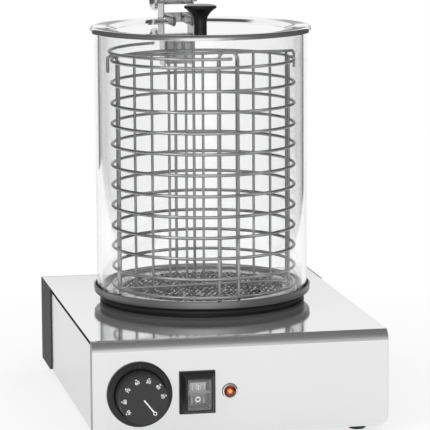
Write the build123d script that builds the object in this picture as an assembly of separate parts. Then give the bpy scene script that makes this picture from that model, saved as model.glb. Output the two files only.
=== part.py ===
from build123d import *
import math
import os

# Countertop hot dog steamer: a stainless steel box with the controls on its front, a heated water
# pan let into its deck, a glass cylinder standing in the pan, and in the glass a wire basket with
# a hang-in divider, closed by a lid. Lengths are in millimetres, angles in degrees. +Z is up, the
# controls face -Y, and the origin is on the table under the middle of the outline.

# ---- housing ----
BODY_W = 270.0            # hood, across
BODY_D = 330.0            # hood, front to back
BODY_H = 87.5             # front panel, height
SIDE_H = 81.0             # side panels, from the deck down
FRONT_CLEAR = 6.0         # gap under the front panel
SHEET = 1.0               # stainless sheet
BEND_R = 9.0              # outer radius of the bend between deck and front
CORNER_R = 9.0            # rounded lower corners of the front panel
FLANGE = 12.0             # inward flanges of the side panels
SEAM = 1.0                # bevel on the outer bends of the side panels
COVER_SHEET = 1.2         # rear cover sheet
COVER_WRAP = 67.0         # how far the rear cover wraps round each side
COVER_R = 8.0             # rounded corners of the wraps
COVER_BEND = 3.0          # outer radius of the rear cover's upright corners
AXIS_BACK = 21.0          # pan and glass axis, behind the middle of the box
VENT_W = 4.0
VENT_L = 34.0
VENT_PITCH = 12.0
VENT_COUNT = 9
FOOT_D = 20.0
FOOT_INSET_X = 24.0       # foot centres, from the sides
FOOT_INSET_Y = 20.0       # foot centres, from front and back
SCREW_HEAD_D = 6.4
SCREW_HEAD_H = 1.8
SCREW_D = 3.2
HOLE_PLAY = 0.2           # screw and body holes, per side
COVER_LAP = 0.5           # rear cover below the side panels
VENT_SHIFT = 30.0         # rear vents, to the left
FOOT_TAPER = 2.0

# ---- water pan ----
PAN_SHEET = 1.2
PAN_RIM_CLEAR = 3.2       # outside of the pan's upright rim, beyond the glass
PAN_RIM_H = 7.8
PAN_BASIN_DEPTH = 45.0    # basin floor, below the deck
PAN_BASIN_BEVEL = 8.0     # flattened corner of the basin
PAN_DRAFT = 0.7           # lean of the rim
SEAL_STEP = 4.7           # black seal under the pan's flange, in from the rim
SEAL_H = 8.2
SEAL_W = 5.0
STUD_D = 4.0              # studs under the pan's flange
STUD_OUT = 5.3            # studs, outside the basin's wall
STUD_ANGLES = (45, 135, 225, 315)
STUD_NUT_AF = 7.0
STUD_NUT_H = 3.2
DECK_PLAY = 1.0           # gap between basin and deck opening
PLATE_CLEAR = 4.0         # drain plate, inside the glass
PLATE_LEDGE = 8.0         # drain plate, over the edge of the basin
PLATE_T = 1.2
PLATE_SKIRT = 2.6         # height of the plate's underside over the flange
MESH_BORDER = 14.0        # plain border round the plate's open mesh
MESH_LONG = 20.0          # one diamond opening
MESH_SHORT = 11.0
MESH_STRAND = 2.5         # metal between the openings

# ---- heater and controls inside ----
ELEMENT_R = 52.0          # heating element ring, to the tube's centre
ELEMENT_W = 8.0           # flattened tube, across
ELEMENT_H = 6.0
ELEMENT_GAP_DEG = 36.0
ELEMENT_TAIL = 26.0
ELEMENT_PIN_D = 3.0
ELEMENT_PIN_L = 9.0
CLAMP_L = 124.0           # strap under the element
CLAMP_W = 18.0
CLAMP_T = 1.5
CLAMP_STUD_D = 6.0
CLAMP_NUT_AF = 10.0
CLAMP_NUT_H = 5.0
CUTOUT_D = 16.0           # safety cut-out under the pan
CUTOUT_H = 8.0
CUTOUT_Y = 26.0
BLADE_W = 6.3             # push-on blades
BLADE_T = 0.8
BLADE_L = 8.0

# ---- front controls: centres in from the left side and down from the deck ----
DIAL_SIDE = 42.3
DIAL_DROP = 48.0
BEZEL_D = 58.7
BEZEL_H = 4.0
DIAL_D = 45.0
DIAL_OUT = 25.0           # dial face, out from the front panel
DIAL_GAP = 0.5            # running gaps round the dial
DIAL_DRAFT = 0.9
DIAL_WALL = 2.0
DIAL_BEVEL = 1.2
HUB_LOW = 7.0             # hub's end over the panel
SHAFT_D = 6.0
SHAFT_CLEAR = 0.05
BUSH_D = 10.0
BUSH_OUT = 4.0
THERMOSTAT_W = 36.0
THERMOSTAT_DEPTH = 22.0
SWITCH_SIDE = 94.4
SWITCH_DROP = 48.6
SWITCH_W = 32.3
SWITCH_H = 38.4
SWITCH_RIM = 3.0          # height of the switch frame on the panel
SWITCH_BODY_W = 28.4
SWITCH_BODY_H = 34.4
SWITCH_CAVITY_W = 22.0
SWITCH_CAVITY_H = 28.4
SWITCH_OUT = 11.0         # mouth of the surround, out from the panel
SWITCH_DEPTH = 24.0
COVER_PROUD = 1.4         # clear cover, out of the mouth
CLEAR_WALL = 0.8
SWITCH_LIP = 1.3          # steps of the surround
SWITCH_WELL = 9.5         # well under the rocker pivot
ROCKER_W = 14.0
ROCKER_L = 22.0
ROCKER_RISE = 3.2
ROCKER_PIVOT = 1.5        # pivot, out from the panel
ROCKER_PIN_D = 3.0
ROCKER_PIN_L = 24.6
ROCKER_TILT = 10.0        # resting tilt of the rocker
LAMP_SIDE = 124.1
LAMP_DROP = 49.0
LAMP_RING_D = 14.6
LAMP_RING_H = 2.2
LAMP_LENS_D = 10.6
LAMP_BODY_D = 9.6
LAMP_BODY_L = 26.0
LAMP_NUT_AF = 14.0

# ---- glass and lid ----
GLASS_D = 200.0
GLASS_WALL = 4.0
GLASS_H = 250.0
LID_LAP = 4.6             # lid's turned-down edge, beyond the glass
LID_SHEET = 0.8
LID_SHOULDER = 3.1        # top of the rim, in from the edge
LID_RIM_W = 23.5          # sloped rim, round the sunk flat middle
LID_SINK = 3.3            # middle below the rim's top
LID_EDGE_H = 5.0          # rim's top above the turned-down edge
LID_SEAT_GAP = 0.3
NOTCH_SIDE = 6.3          # notch in the lid's rear rim, beside the hanger wires
NOTCH_END = 1.4           # and in front of them
NOTCH_CORNER = 3.0
LID_KNOB_H = 23.5
LID_KNOB_D = 30.8
LID_KNOB_NECK_D = 12.2
KNOB_NECK_H = 7.0         # straight part of the neck
KNOB_DOME = 2.6
KNOB_EDGE = 1.0
KNOB_THREAD = 10.0

# ---- basket: heights are above the deck ----
BASKET_X = 2.0            # play of the basket in the glass, to the right
BASKET_TURN = 3.0         # basket stands turned by this much
WIRE_D = 3.0
GRID_WIRE_D = 2.8
WIRE_SIDES = 8            # wires are eight-sided, with flats where they meet
RING_SIDES = 6            # the rings' wire has fewer, because it repeats
HOOP_SIDES = 36           # rings are made of this many straight steps
GRID_STEP = 0.2           # divider bars are this much thinner than its frame
RING_CLEAR = 8.3          # rings, inside the glass
RING_LOW = 16.4           # lowest ring
RING_SECOND = 33.7
RING_EVEN_COUNT = 10      # rings at one pitch, from the second one up
RING_TOP_GAP = 21.5       # last ring above them
RING_TOP_DROP = 29.6      # last ring, below the top of the glass
HAIRPIN_HALF = 9.2        # half spacing of the two legs
HAIRPIN_TURN = 2.2        # front hairpin, welded this far round the rings
HAIRPIN_RISE = 15.2       # top of the front arch, over the last ring
UPRIGHT_OFFSET_DEG = 5.0  # side uprights, in front of the divider
DIVIDER_IN = 3.7          # ends of the divider, inside the rings
DIVIDER_COUNT = 11
DIVIDER_RISE = 5.3        # top wire, over the last ring
DIVIDER_CORNER = 6.0
HOOK_CLEAR = 1.7          # hooks of the top wire, outside the rings
HOOK_BEND = 3.0
HOOK_DROP = 10.2          # ends of the hooks, below the last ring
BOW_OUT = 2.0             # half-round bow on the divider, outside the rings' centre line
BOW_REAR_DEG = 109.0
BOW_FRONT_DEG = 273.5

# ---- basket handle behind the glass ----
HANDLE_W = 31.0
HANDLE_SHEET = 1.2
HANDLE_CLEAR = 2.4        # front edges of the cheeks, behind the lid
HANDLE_DEPTH = 26.0
HANDLE_H = 77.0
HANDLE_RISE = 25.4        # tops of the cheeks, over the hanger wires
HANDLE_CORNER = 8.0
HANDLE_OPEN = 26.0        # web ends this far below the cheeks' tops
GRIP_IN = 10.0            # grip axis, behind the cheeks' front edges
GRIP_DOWN = 12.3          # and below their tops
GRIP_D = 9.0
GRIP_PIN_D = 5.0
GRIP_HEAD_D = 20.6
GRIP_HEAD_L = 7.2
GRIP_COLLAR_L = 4.6
GRIP_COLLAR_D = 8.6
GRIP_TAIL = 5.0
HANGER_RISE = 4.2         # hanger wires, where they cross over the glass
HANGER_BEND = 7.0
HANGER_TURN = -1.3        # hanger wires and handle, welded this far round the rings
HANGER_WELD = 10.0        # ends of the hanger wires, over the foot of the handle

# ---- cable gland ----
GLAND_SIDE = 51.0         # in from the right side
GLAND_RISE = 24.0         # above the lower edge of the rear cover
GLAND_HEX_AF = 19.0
GLAND_HEX_L = 6.0
GLAND_THREAD_D = 15.5
GLAND_IN = 12.0
GLAND_OUT = 25.0          # dome nut, out from the back
GLAND_CAP_D = 18.0
GLAND_BORE_D = 8.0
GLAND_CLOSE = 6.0         # tapered end of the cap nut
GLAND_PLAY = 0.2
TERMINAL_POLES = 5
TERMINAL_PITCH = 10.0
TERMINAL_W = 20.0
TERMINAL_H = 16.0
TERMINAL_WELL = 5.0
TERMINAL_BACK = 44.0      # strip's middle, in front of the back

# ---- places worked out from the sizes above ----
DECK_Z = FRONT_CLEAR + BODY_H
SIDE_LOW = DECK_Z - SIDE_H
BODY_Y = (DIAL_OUT - GLAND_OUT - COVER_SHEET) / 2
FRONT_Y = BODY_Y - BODY_D / 2
REAR_Y = BODY_Y + BODY_D / 2
AXIS_Y = BODY_Y + AXIS_BACK
DIAL_X = DIAL_SIDE - BODY_W / 2
SWITCH_X = SWITCH_SIDE - BODY_W / 2
LAMP_X = LAMP_SIDE - BODY_W / 2
GLAND_X = BODY_W / 2 - GLAND_SIDE
SEAT_R = GLASS_D / 2 - GLASS_WALL
PAN_RIM_R = GLASS_D / 2 + PAN_RIM_CLEAR
SEAL_R = PAN_RIM_R - SEAL_STEP
PLATE_R = SEAT_R - PLATE_CLEAR
MESH_R = PLATE_R - MESH_BORDER
PAN_BASIN_R = PLATE_R - PLATE_LEDGE
STUD_RING_R = PAN_BASIN_R + PAN_SHEET + STUD_OUT
FLANGE_TOP = DECK_Z + SEAL_H + PAN_SHEET
PLATE_TOP = FLANGE_TOP + PLATE_SKIRT
GLASS_TOP = FLANGE_TOP + GLASS_H
LID_R = GLASS_D / 2 + LID_LAP
LID_CREST_R = LID_R - LID_SHOULDER
LID_FLAT_R = LID_CREST_R - LID_RIM_W
RIM_SLOPE = LID_SINK / (LID_CREST_R - LID_FLAT_R)
SHAFT_LOW = DIAL_GAP - SHEET - THERMOSTAT_DEPTH * 0.6
LID_TOP = GLASS_TOP + LID_SEAT_GAP + LID_SHEET + RIM_SLOPE * (LID_CREST_R - SEAT_R)
LID_FLAT_Z = LID_TOP - LID_SINK
RING_R = SEAT_R - RING_CLEAR - WIRE_D / 2
RING_TOP = GLASS_TOP - DECK_Z - RING_TOP_DROP
RING_PITCH = (RING_TOP - RING_TOP_GAP - RING_SECOND) / (RING_EVEN_COUNT - 1)
HAIRPIN_TOP = RING_TOP + HAIRPIN_RISE
LEG_R = (RING_R - WIRE_D / 2) * math.cos(math.pi / HOOP_SIDES) - WIRE_D / 2
LEG_STAND = math.sqrt(LEG_R ** 2 - HAIRPIN_HALF ** 2)
NOTCH_R = LEG_STAND - WIRE_D / 2 - NOTCH_END
NOTCH_W = 2 * HAIRPIN_HALF + WIRE_D + 2 * NOTCH_SIDE
DIVIDER_EDGE = RING_R - DIVIDER_IN
DIVIDER_LOW = PLATE_TOP - DECK_Z + GRID_WIRE_D / 2
DIVIDER_TOP = RING_TOP + DIVIDER_RISE
HOOK_R = RING_R + WIRE_D / 2 + HOOK_CLEAR + GRID_WIRE_D / 2
BOW_R = RING_R + BOW_OUT
HANGER_OVER = GLASS_TOP - DECK_Z + HANGER_RISE
HANDLE_FRONT = LID_R + HANDLE_CLEAR
HANDLE_TOP = HANGER_OVER + HANDLE_RISE
HANDLE_LOW = HANDLE_TOP - HANDLE_H
BOW_Z = DIVIDER_TOP + GRID_WIRE_D / 2 + WIRE_D / 2
BASKET = Pos(BASKET_X, AXIS_Y, DECK_Z) * Rot(0, 0, BASKET_TURN)
AXIS = Pos(0, AXIS_Y, DECK_Z)
HANDLE = BASKET * Rot(0, 0, HANGER_TURN)
GRIP = HANDLE * Pos(0, HANDLE_FRONT + GRIP_IN, HANDLE_TOP - GRIP_DOWN) * Rot(0, 90, 0)


def ring(outer, inner, low, high):
    """Flat-ended ring round the Z axis."""
    return disc(outer, low, high) - disc(inner, low - 1, high + 1)


def disc(radius, low, high):
    """Plain cylinder between two heights."""
    return Pos(0, 0, (low + high) / 2) * Cylinder(radius, high - low)


def turned(points):
    """Solid turned round Z from a closed outline of (radius, height) points."""
    return revolve(Plane.XZ * make_face(Polyline(*points, close=True)), Axis.Z)


def hexagon(across_flats, low, high):
    """Hexagonal prism between two heights."""
    outline = RegularPolygon(across_flats / 2, 6, major_radius=False)
    return Pos(0, 0, low) * extrude(outline, high - low)


def wire_section(diameter, sides):
    """Wire's cross-section, with flats facing both ways along its x."""
    return RegularPolygon(diameter / 2, sides, major_radius=False, rotation=180 / sides)


def wire(points, radius, diameter):
    """Bent wire: straight runs joined by arcs of one radius."""
    path = FilletPolyline(*points, radius=radius)
    return sweep(Plane(origin=path @ 0, z_dir=path % 0) * wire_section(diameter, WIRE_SIDES), path=path)


def rod(start, end, diameter):
    """Straight piece of wire between two points."""
    path = Line(start, end)
    return extrude(Plane(origin=start, z_dir=path % 0) * wire_section(diameter, WIRE_SIDES), path.length)


def hoop(radius, start, stop, diameter, sides):
    """Wire hoop from one angle to another, in short straight steps."""
    steps = round((stop - start) * HOOP_SIDES / 360)
    sections = []
    for step in range(steps + 1):
        angle = start + (stop - start) * step / steps
        sections.append(Rot(0, 0, angle) * Pos(radius, 0, 0) * Rot(90, 0, 0) * wire_section(diameter, sides))
    return loft(sections, ruled=True)


def dome(radius, low, rise):
    """Points of a dome in three steps, from its edge up, or down, to its axis."""
    ball = (radius ** 2 + rise ** 2) / (2 * rise)
    half = math.asin(radius / ball)
    return [
        (ball * math.sin(half * share), low + rise - ball * (1 - math.cos(half * share)))
        for share in (1.0, 0.7, 0.35, 0.0)
    ]


def panel_point(x, drop):
    """Place on the front panel's face, with the part's +Z pointing out of the panel."""
    return Pos(x, FRONT_Y, DECK_Z - drop) * Rot(90, 0, 0)


def polar(radius, degrees, height=0.0):
    """Point at a radius and an angle from +X round Z."""
    angle = math.radians(degrees)
    return (radius * math.cos(angle), radius * math.sin(angle), height)


# ---------------------------------------------------------------- housing
def control_cuts():
    """Holes in the front panel for the dial shaft, the switch and the lamp."""
    dial = panel_point(DIAL_X, DIAL_DROP) * disc(BUSH_D / 2 + HOLE_PLAY, -2 * SHEET, SHEET)
    switch = panel_point(SWITCH_X, SWITCH_DROP) * Box(
        SWITCH_BODY_W + 2 * HOLE_PLAY, SWITCH_BODY_H + 2 * HOLE_PLAY, 4 * SHEET
    )
    lamp = panel_point(LAMP_X, LAMP_DROP) * disc(LAMP_BODY_D / 2 + HOLE_PLAY, -2 * SHEET, SHEET)
    return [dial, switch, lamp]


def stud_places():
    """Where the pan's studs go through the deck."""
    return [AXIS * Pos(*polar(STUD_RING_R, angle)) for angle in STUD_ANGLES]


def hood():
    """Deck and front panel, bent from one sheet, with the openings for the pan and the controls."""
    profile = make_face(Polyline(
        (REAR_Y, DECK_Z), (FRONT_Y, DECK_Z), (FRONT_Y, FRONT_CLEAR),
        (FRONT_Y + SHEET, FRONT_CLEAR), (FRONT_Y + SHEET, DECK_Z - SHEET),
        (REAR_Y, DECK_Z - SHEET), close=True,
    ))
    bend_out = profile.vertices().sort_by_distance((FRONT_Y, DECK_Z, 0))[0]
    profile = fillet(bend_out, BEND_R)
    bend_in = profile.vertices().sort_by_distance((FRONT_Y + SHEET, DECK_Z - SHEET, 0))[0]
    profile = fillet(bend_in, BEND_R - SHEET)
    sheet = extrude(Plane.YZ * profile, BODY_W / 2, both=True)
    lower_corners = sheet.edges().filter_by(Axis.Y).group_by(Axis.Z)[0]
    sheet = fillet(lower_corners, CORNER_R)
    rear_corners = sheet.edges().filter_by(Axis.Z).group_by(Axis.Y)[-1]
    sheet = fillet(rear_corners, COVER_BEND)
    opening = AXIS * disc(PAN_BASIN_R + PAN_SHEET + DECK_PLAY, -2 * SHEET, SHEET)
    studs = [place * disc(STUD_D / 2 + HOLE_PLAY, -2 * SHEET, SHEET) for place in stud_places()]
    return sheet - [opening] - studs - control_cuts()


def side_panel(side):
    """Flanged cheek under the hood; side is -1 for the left one and 1 for the right one."""
    front = FRONT_Y + SHEET
    high = DECK_Z - SHEET
    depth = REAR_Y - front
    height = high - SIDE_LOW
    middle = Pos(side * (BODY_W / 2 - FLANGE / 2), (front + REAR_Y) / 2, (high + SIDE_LOW) / 2)
    block = middle * Box(FLANGE, depth, height)
    top_front = block.edges().filter_by(Axis.X).group_by(Axis.Y)[0].sort_by(Axis.Z)[-1]
    block = fillet(top_front, BEND_R)
    outer = block.faces().sort_by(Axis.X)[-1 if side > 0 else 0]
    bevelled = [edge for edge in outer.edges() if edge.center().Y < REAR_Y - SHEET]
    block = chamfer(bevelled, SEAM)
    rear_edge = block.edges().filter_by(Axis.Z).group_by(Axis.Y)[-1].sort_by(Axis.X)[-1 if side > 0 else 0]
    block = fillet(rear_edge, COVER_BEND)
    hollow = middle * Pos(-side * SHEET, SHEET, 0) * Box(FLANGE, depth, height - 2 * SHEET)
    return block - hollow


def gland_place():
    """Gland's centre on the rear cover's outer face, +Z pointing out of the back."""
    return Pos(GLAND_X, REAR_Y + COVER_SHEET, SIDE_LOW + GLAND_RISE) * Rot(-90, 0, 0)


def vent_cuts(columns, rows, row_pitch, thickness):
    """Vent slots in a grid, through a sheet on the XY plane."""
    slot = Box(VENT_W, VENT_L, 4 * thickness)
    return [place * slot for place in GridLocations(VENT_PITCH, row_pitch, columns, rows)]


def rear_cover():
    """Painted back, wrapped round both sides, with vent slots and the gland's hole."""
    low = SIDE_LOW - COVER_LAP
    depth = COVER_WRAP + COVER_SHEET
    middle = Pos(0, REAR_Y + COVER_SHEET - depth / 2, (low + DECK_Z) / 2)
    block = middle * Box(BODY_W + 2 * COVER_SHEET, depth, DECK_Z - low)
    block = fillet(block.edges().filter_by(Axis.Z).group_by(Axis.Y)[-1], COVER_BEND)
    core = middle * Pos(0, -COVER_SHEET, 0) * Box(BODY_W, depth, DECK_Z - low + 2)
    core = fillet(core.edges().filter_by(Axis.Z).group_by(Axis.Y)[-1], COVER_BEND - COVER_SHEET)
    shell = block - core
    wrap_corners = shell.edges().filter_by(Axis.X).group_by(Axis.Y)[0].group_by(Axis.Z)[0]
    shell = fillet(wrap_corners, COVER_R)
    panel = Pos(-VENT_SHIFT, REAR_Y, SIDE_LOW + SIDE_H / 2) * Rot(-90, 0, 0)
    slots = [panel * slot for slot in vent_cuts(VENT_COUNT, 1, 0, COVER_SHEET)]
    bore = gland_place() * disc(GLAND_THREAD_D / 2 + HOLE_PLAY, -2 * COVER_SHEET, COVER_SHEET)
    return shell - slots - [bore]


def base_plate():
    """Bottom plate under the side panels' flanges, with vent slots and a lip in front."""
    width = BODY_W - 2 * SEAM
    front = FRONT_Y + SHEET + SEAM
    middle = Pos(0, (front + REAR_Y) / 2, SIDE_LOW - SHEET / 2)
    plate = middle * Box(width, REAR_Y - front, SHEET)
    slots = [middle * slot for slot in vent_cuts(VENT_COUNT, 2, 2 * VENT_L, SHEET)]
    lip = Pos(0, front + SHEET / 2, SIDE_LOW + FLANGE / 2) * Box(width - 2 * FLANGE, SHEET, FLANGE)
    return plate + lip - slots


def foot_places():
    """Where the four feet meet the base plate."""
    spots = GridLocations(BODY_W - 2 * FOOT_INSET_X, BODY_D - 2 * FOOT_INSET_Y, 2, 2)
    return [Pos(0, BODY_Y, SIDE_LOW - SHEET) * spot for spot in spots]


def feet():
    """Four rubber feet, tapered down to a bevelled sole."""
    high = SIDE_LOW - SHEET
    sole = FOOT_D / 2 - FOOT_TAPER
    foot = turned([(0, 0), (FOOT_D / 2, 0), (sole, 1 - high), (sole - 1, -high), (0, -high)])
    return [place * foot for place in foot_places()]


# ---------------------------------------------------------------- water pan and heater
def water_pan():
    """Drawn pan: leaning rim, flat flange that carries the glass, and the basin under it."""
    flange = SEAL_H + PAN_SHEET
    foot = PAN_RIM_R - PAN_DRAFT
    rim = SEAL_H + PAN_RIM_H
    floor = -PAN_BASIN_DEPTH
    outside = PAN_BASIN_R + PAN_SHEET
    return AXIS * turned([
        (0, floor), (PAN_BASIN_R - PAN_BASIN_BEVEL, floor), (PAN_BASIN_R, floor + PAN_BASIN_BEVEL),
        (PAN_BASIN_R, flange), (foot - PAN_SHEET, flange), (PAN_RIM_R - PAN_SHEET, rim),
        (PAN_RIM_R, rim), (foot, SEAL_H), (outside, SEAL_H), (outside, floor + PAN_BASIN_BEVEL),
        (outside - PAN_BASIN_BEVEL, floor - PAN_SHEET), (0, floor - PAN_SHEET),
    ])


def pan_seal():
    """Black rubber ring between the deck and the pan's flange."""
    return AXIS * ring(SEAL_R, SEAL_R - SEAL_W, 0, SEAL_H)


def pan_bolts():
    """Studs under the pan's flange with nuts that draw it down on its seal."""
    low = -SHEET - STUD_NUT_H
    bolt = disc(STUD_D / 2, low - 3, SEAL_H) + hexagon(STUD_NUT_AF, low, -SHEET)
    return [place * bolt for place in stud_places()]


def heating_element():
    """Flattened tubular heater under the basin: an open ring with two tails and their pins."""
    top = -PAN_BASIN_DEPTH - PAN_SHEET
    start = ELEMENT_GAP_DEG / 2 - 90
    tube = Plane.XZ * Pos(ELEMENT_R, top - ELEMENT_H / 2) * Rectangle(ELEMENT_W, ELEMENT_H)
    loop = Rot(0, 0, start) * revolve(tube, Axis.Z, 360 - ELEMENT_GAP_DEG)
    pieces = []
    for angle in (start, 180 - start):
        x, y, height = polar(ELEMENT_R, angle, top - ELEMENT_H / 2)
        end = y - ELEMENT_TAIL
        pieces.append(Pos(x, (y + end) / 2, height) * Box(ELEMENT_W, y - end, ELEMENT_H))
        pieces.append(rod((x, end, height), (x, end - ELEMENT_PIN_L, height), ELEMENT_PIN_D))
    return AXIS * (loop + pieces)


def heater_strap():
    """Strap that presses the element up against the basin."""
    low = -PAN_BASIN_DEPTH - PAN_SHEET - ELEMENT_H - CLAMP_T
    strap = Pos(0, 0, low + CLAMP_T / 2) * Box(CLAMP_L, CLAMP_W, CLAMP_T)
    return AXIS * (strap - disc(CLAMP_STUD_D / 2 + HOLE_PLAY, low - CLAMP_T, low + 2 * CLAMP_T))


def strap_bolt():
    """Stud welded under the basin's middle, with the strap's nut."""
    high = -PAN_BASIN_DEPTH - PAN_SHEET
    nut_high = high - ELEMENT_H - CLAMP_T
    nut_low = nut_high - CLAMP_NUT_H
    return AXIS * (disc(CLAMP_STUD_D / 2, nut_low - 2, high) + hexagon(CLAMP_NUT_AF, nut_low, nut_high))


def safety_cutout():
    """Disc thermostat against the basin's floor, with two blades."""
    top = -PAN_BASIN_DEPTH - PAN_SHEET
    body = disc(CUTOUT_D / 2, top - CUTOUT_H, top)
    blades = [Pos(shift, 0, top - CUTOUT_H - BLADE_L / 2) * Box(BLADE_T, BLADE_W, BLADE_L)
              for shift in (-CUTOUT_D / 4, CUTOUT_D / 4)]
    return AXIS * Pos(0, CUTOUT_Y, 0) * (body + blades)


# ---------------------------------------------------------------- front controls
def dial_bezel():
    """Fixed ring round the dial, with a bevelled face."""
    outer = BEZEL_D / 2
    inner = DIAL_D / 2 + DIAL_GAP
    return panel_point(DIAL_X, DIAL_DROP) * turned([
        (inner, 0), (outer, 0), (outer, BEZEL_H / 2), (outer - BEZEL_H / 2, BEZEL_H), (inner, BEZEL_H),
    ])


def dial_knob():
    """Hollow knob with a flat face and, inside, a hub over the thermostat's shaft."""
    base = DIAL_D / 2
    face = base - DIAL_DRAFT
    inner_face = DIAL_OUT - DIAL_WALL
    hub = SHAFT_D / 2 + DIAL_WALL
    bore = SHAFT_D / 2 + SHAFT_CLEAR
    return panel_point(DIAL_X, DIAL_DROP) * turned([
        (base, DIAL_GAP), (face, DIAL_OUT - DIAL_BEVEL), (face - DIAL_BEVEL, DIAL_OUT), (0, DIAL_OUT),
        (0, inner_face), (bore, inner_face), (bore, HUB_LOW), (hub, HUB_LOW), (hub, inner_face),
        (face - DIAL_WALL, inner_face), (base - DIAL_WALL, DIAL_GAP),
    ])


def thermostat_body():
    """Thermostat box behind the panel, its bush through the panel, its shaft hole running free."""
    rear = -SHEET - THERMOSTAT_DEPTH
    case = Pos(0, 0, (rear - SHEET) / 2) * Box(THERMOSTAT_W, THERMOSTAT_W, THERMOSTAT_DEPTH)
    case = chamfer(case.edges().filter_by(Axis.Z), THERMOSTAT_W / 12)
    bush = disc(BUSH_D / 2, -SHEET, BUSH_OUT)
    blades = [Pos(shift, -THERMOSTAT_W / 4, rear - BLADE_L / 2) * Box(BLADE_W, BLADE_T, BLADE_L)
              for shift in (-THERMOSTAT_W / 4, THERMOSTAT_W / 4)]
    bore = disc(SHAFT_D / 2 + SHAFT_CLEAR, SHAFT_LOW - DIAL_GAP, BUSH_OUT + 1)
    return panel_point(DIAL_X, DIAL_DROP) * (case + bush + blades - bore)


def thermostat_shaft():
    """Shaft that the dial turns, up against the inside of the dial's face."""
    return panel_point(DIAL_X, DIAL_DROP) * disc(SHAFT_D / 2, SHAFT_LOW, DIAL_OUT - DIAL_WALL)


def switch_housing():
    """Rocker switch case with its raised surround, open to the front."""
    flange = Pos(0, 0, SWITCH_RIM / 2) * Box(SWITCH_W, SWITCH_H, SWITCH_RIM)
    flange = chamfer(flange.edges().group_by(Axis.Z)[-1], SWITCH_LIP / 2)
    foot = Pos(0, 0, SWITCH_RIM) * Rectangle(SWITCH_W - 2 * SWITCH_LIP, SWITCH_H - 2 * SWITCH_LIP)
    mouth = Pos(0, 0, SWITCH_OUT) * Rectangle(
        SWITCH_CAVITY_W + 2 * SWITCH_LIP, SWITCH_CAVITY_H + 2 * SWITCH_LIP
    )
    case = Pos(0, 0, -SWITCH_DEPTH / 2) * Box(SWITCH_BODY_W, SWITCH_BODY_H, SWITCH_DEPTH)
    blades = [Pos(0, shift, -SWITCH_DEPTH - BLADE_L / 2) * Box(BLADE_W, BLADE_T, BLADE_L)
              for shift in (-SWITCH_BODY_H / 3, 0, SWITCH_BODY_H / 3)]
    floor = ROCKER_PIVOT - SWITCH_WELL
    cavity = Pos(0, 0, (floor + SWITCH_OUT + 1) / 2) * Box(
        SWITCH_CAVITY_W, SWITCH_CAVITY_H, SWITCH_OUT + 1 - floor
    )
    pivot = Pos(0, 0, ROCKER_PIVOT) * Rot(0, 90, 0) * Cylinder(
        ROCKER_PIN_D / 2 + SHAFT_CLEAR, ROCKER_PIN_L + 2 * HOLE_PLAY
    )
    shape = flange + loft([foot, mouth]) + case + blades - cavity - pivot
    return panel_point(SWITCH_X, SWITCH_DROP) * shape


def switch_rocker():
    """Rocker with two sloped halves and its pivot pins, resting with its lower half pressed."""
    half = ROCKER_L / 2
    outline = make_face(Polyline(
        (-half, ROCKER_RISE), (0, ROCKER_RISE / 2), (half, ROCKER_RISE),
        (half - ROCKER_RISE, -ROCKER_RISE), (ROCKER_RISE - half, -ROCKER_RISE), close=True,
    ))
    block = extrude(Plane.YZ * outline, ROCKER_W / 2, both=True)
    pin = Rot(0, 90, 0) * Cylinder(ROCKER_PIN_D / 2, ROCKER_PIN_L)
    turn = Pos(0, 0, ROCKER_PIVOT) * Rot(ROCKER_TILT, 0, 0)
    return panel_point(SWITCH_X, SWITCH_DROP) * turn * (block + pin)


def splash_cover():
    """Clear hood pressed into the switch's mouth, over the rocker."""
    low = SWITCH_RIM + SWITCH_LIP
    high = SWITCH_OUT + COVER_PROUD
    block = Pos(0, 0, (low + high) / 2) * Box(SWITCH_CAVITY_W, SWITCH_CAVITY_H, high - low)
    block = chamfer(block.edges().group_by(Axis.Z)[-1], CLEAR_WALL)
    inside = Pos(0, 0, (low + high) / 2 - CLEAR_WALL) * Box(
        SWITCH_CAVITY_W - 2 * CLEAR_WALL, SWITCH_CAVITY_H - 2 * CLEAR_WALL, high - low
    )
    return panel_point(SWITCH_X, SWITCH_DROP) * (block - inside)


def lamp_ring():
    """Chrome ring of the pilot lamp."""
    outer = LAMP_RING_D / 2
    inner = LAMP_LENS_D / 2 + HOLE_PLAY / 2
    return panel_point(LAMP_X, LAMP_DROP) * turned([
        (inner, 0), (outer, 0), (outer, LAMP_RING_H / 2), (outer - LAMP_RING_H / 2, LAMP_RING_H),
        (inner, LAMP_RING_H),
    ])


def lamp_lens():
    """Domed lens of the pilot lamp."""
    radius = LAMP_LENS_D / 2
    return panel_point(LAMP_X, LAMP_DROP) * turned([
        (0, HOLE_PLAY), (radius, HOLE_PLAY), *dome(radius, LAMP_RING_H, LAMP_RING_H),
    ])


def lamp_body():
    """Lamp holder behind the panel, with its nut and two blades."""
    body = disc(LAMP_BODY_D / 2, -LAMP_BODY_L, HOLE_PLAY)
    nut = hexagon(LAMP_NUT_AF, -SHEET - STUD_NUT_H, -SHEET)
    blades = [Pos(shift, 0, -LAMP_BODY_L - BLADE_L / 2) * Box(BLADE_T, BLADE_W, BLADE_L)
              for shift in (-LAMP_BODY_D / 4, LAMP_BODY_D / 4)]
    return panel_point(LAMP_X, LAMP_DROP) * (body + nut + blades)


# ---------------------------------------------------------------- mains side
def gland_body():
    """Gland through the rear cover: hexagon outside, thread inside, bore for the cord."""
    spigot_high = GLAND_OUT - GLAND_CLOSE - GLAND_PLAY
    body = disc(GLAND_THREAD_D / 2, -COVER_SHEET - GLAND_IN, spigot_high)
    body += hexagon(GLAND_HEX_AF, 0, GLAND_HEX_L)
    return gland_place() * (body - disc(GLAND_BORE_D / 2, -COVER_SHEET - GLAND_IN - 1, GLAND_OUT))


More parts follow.
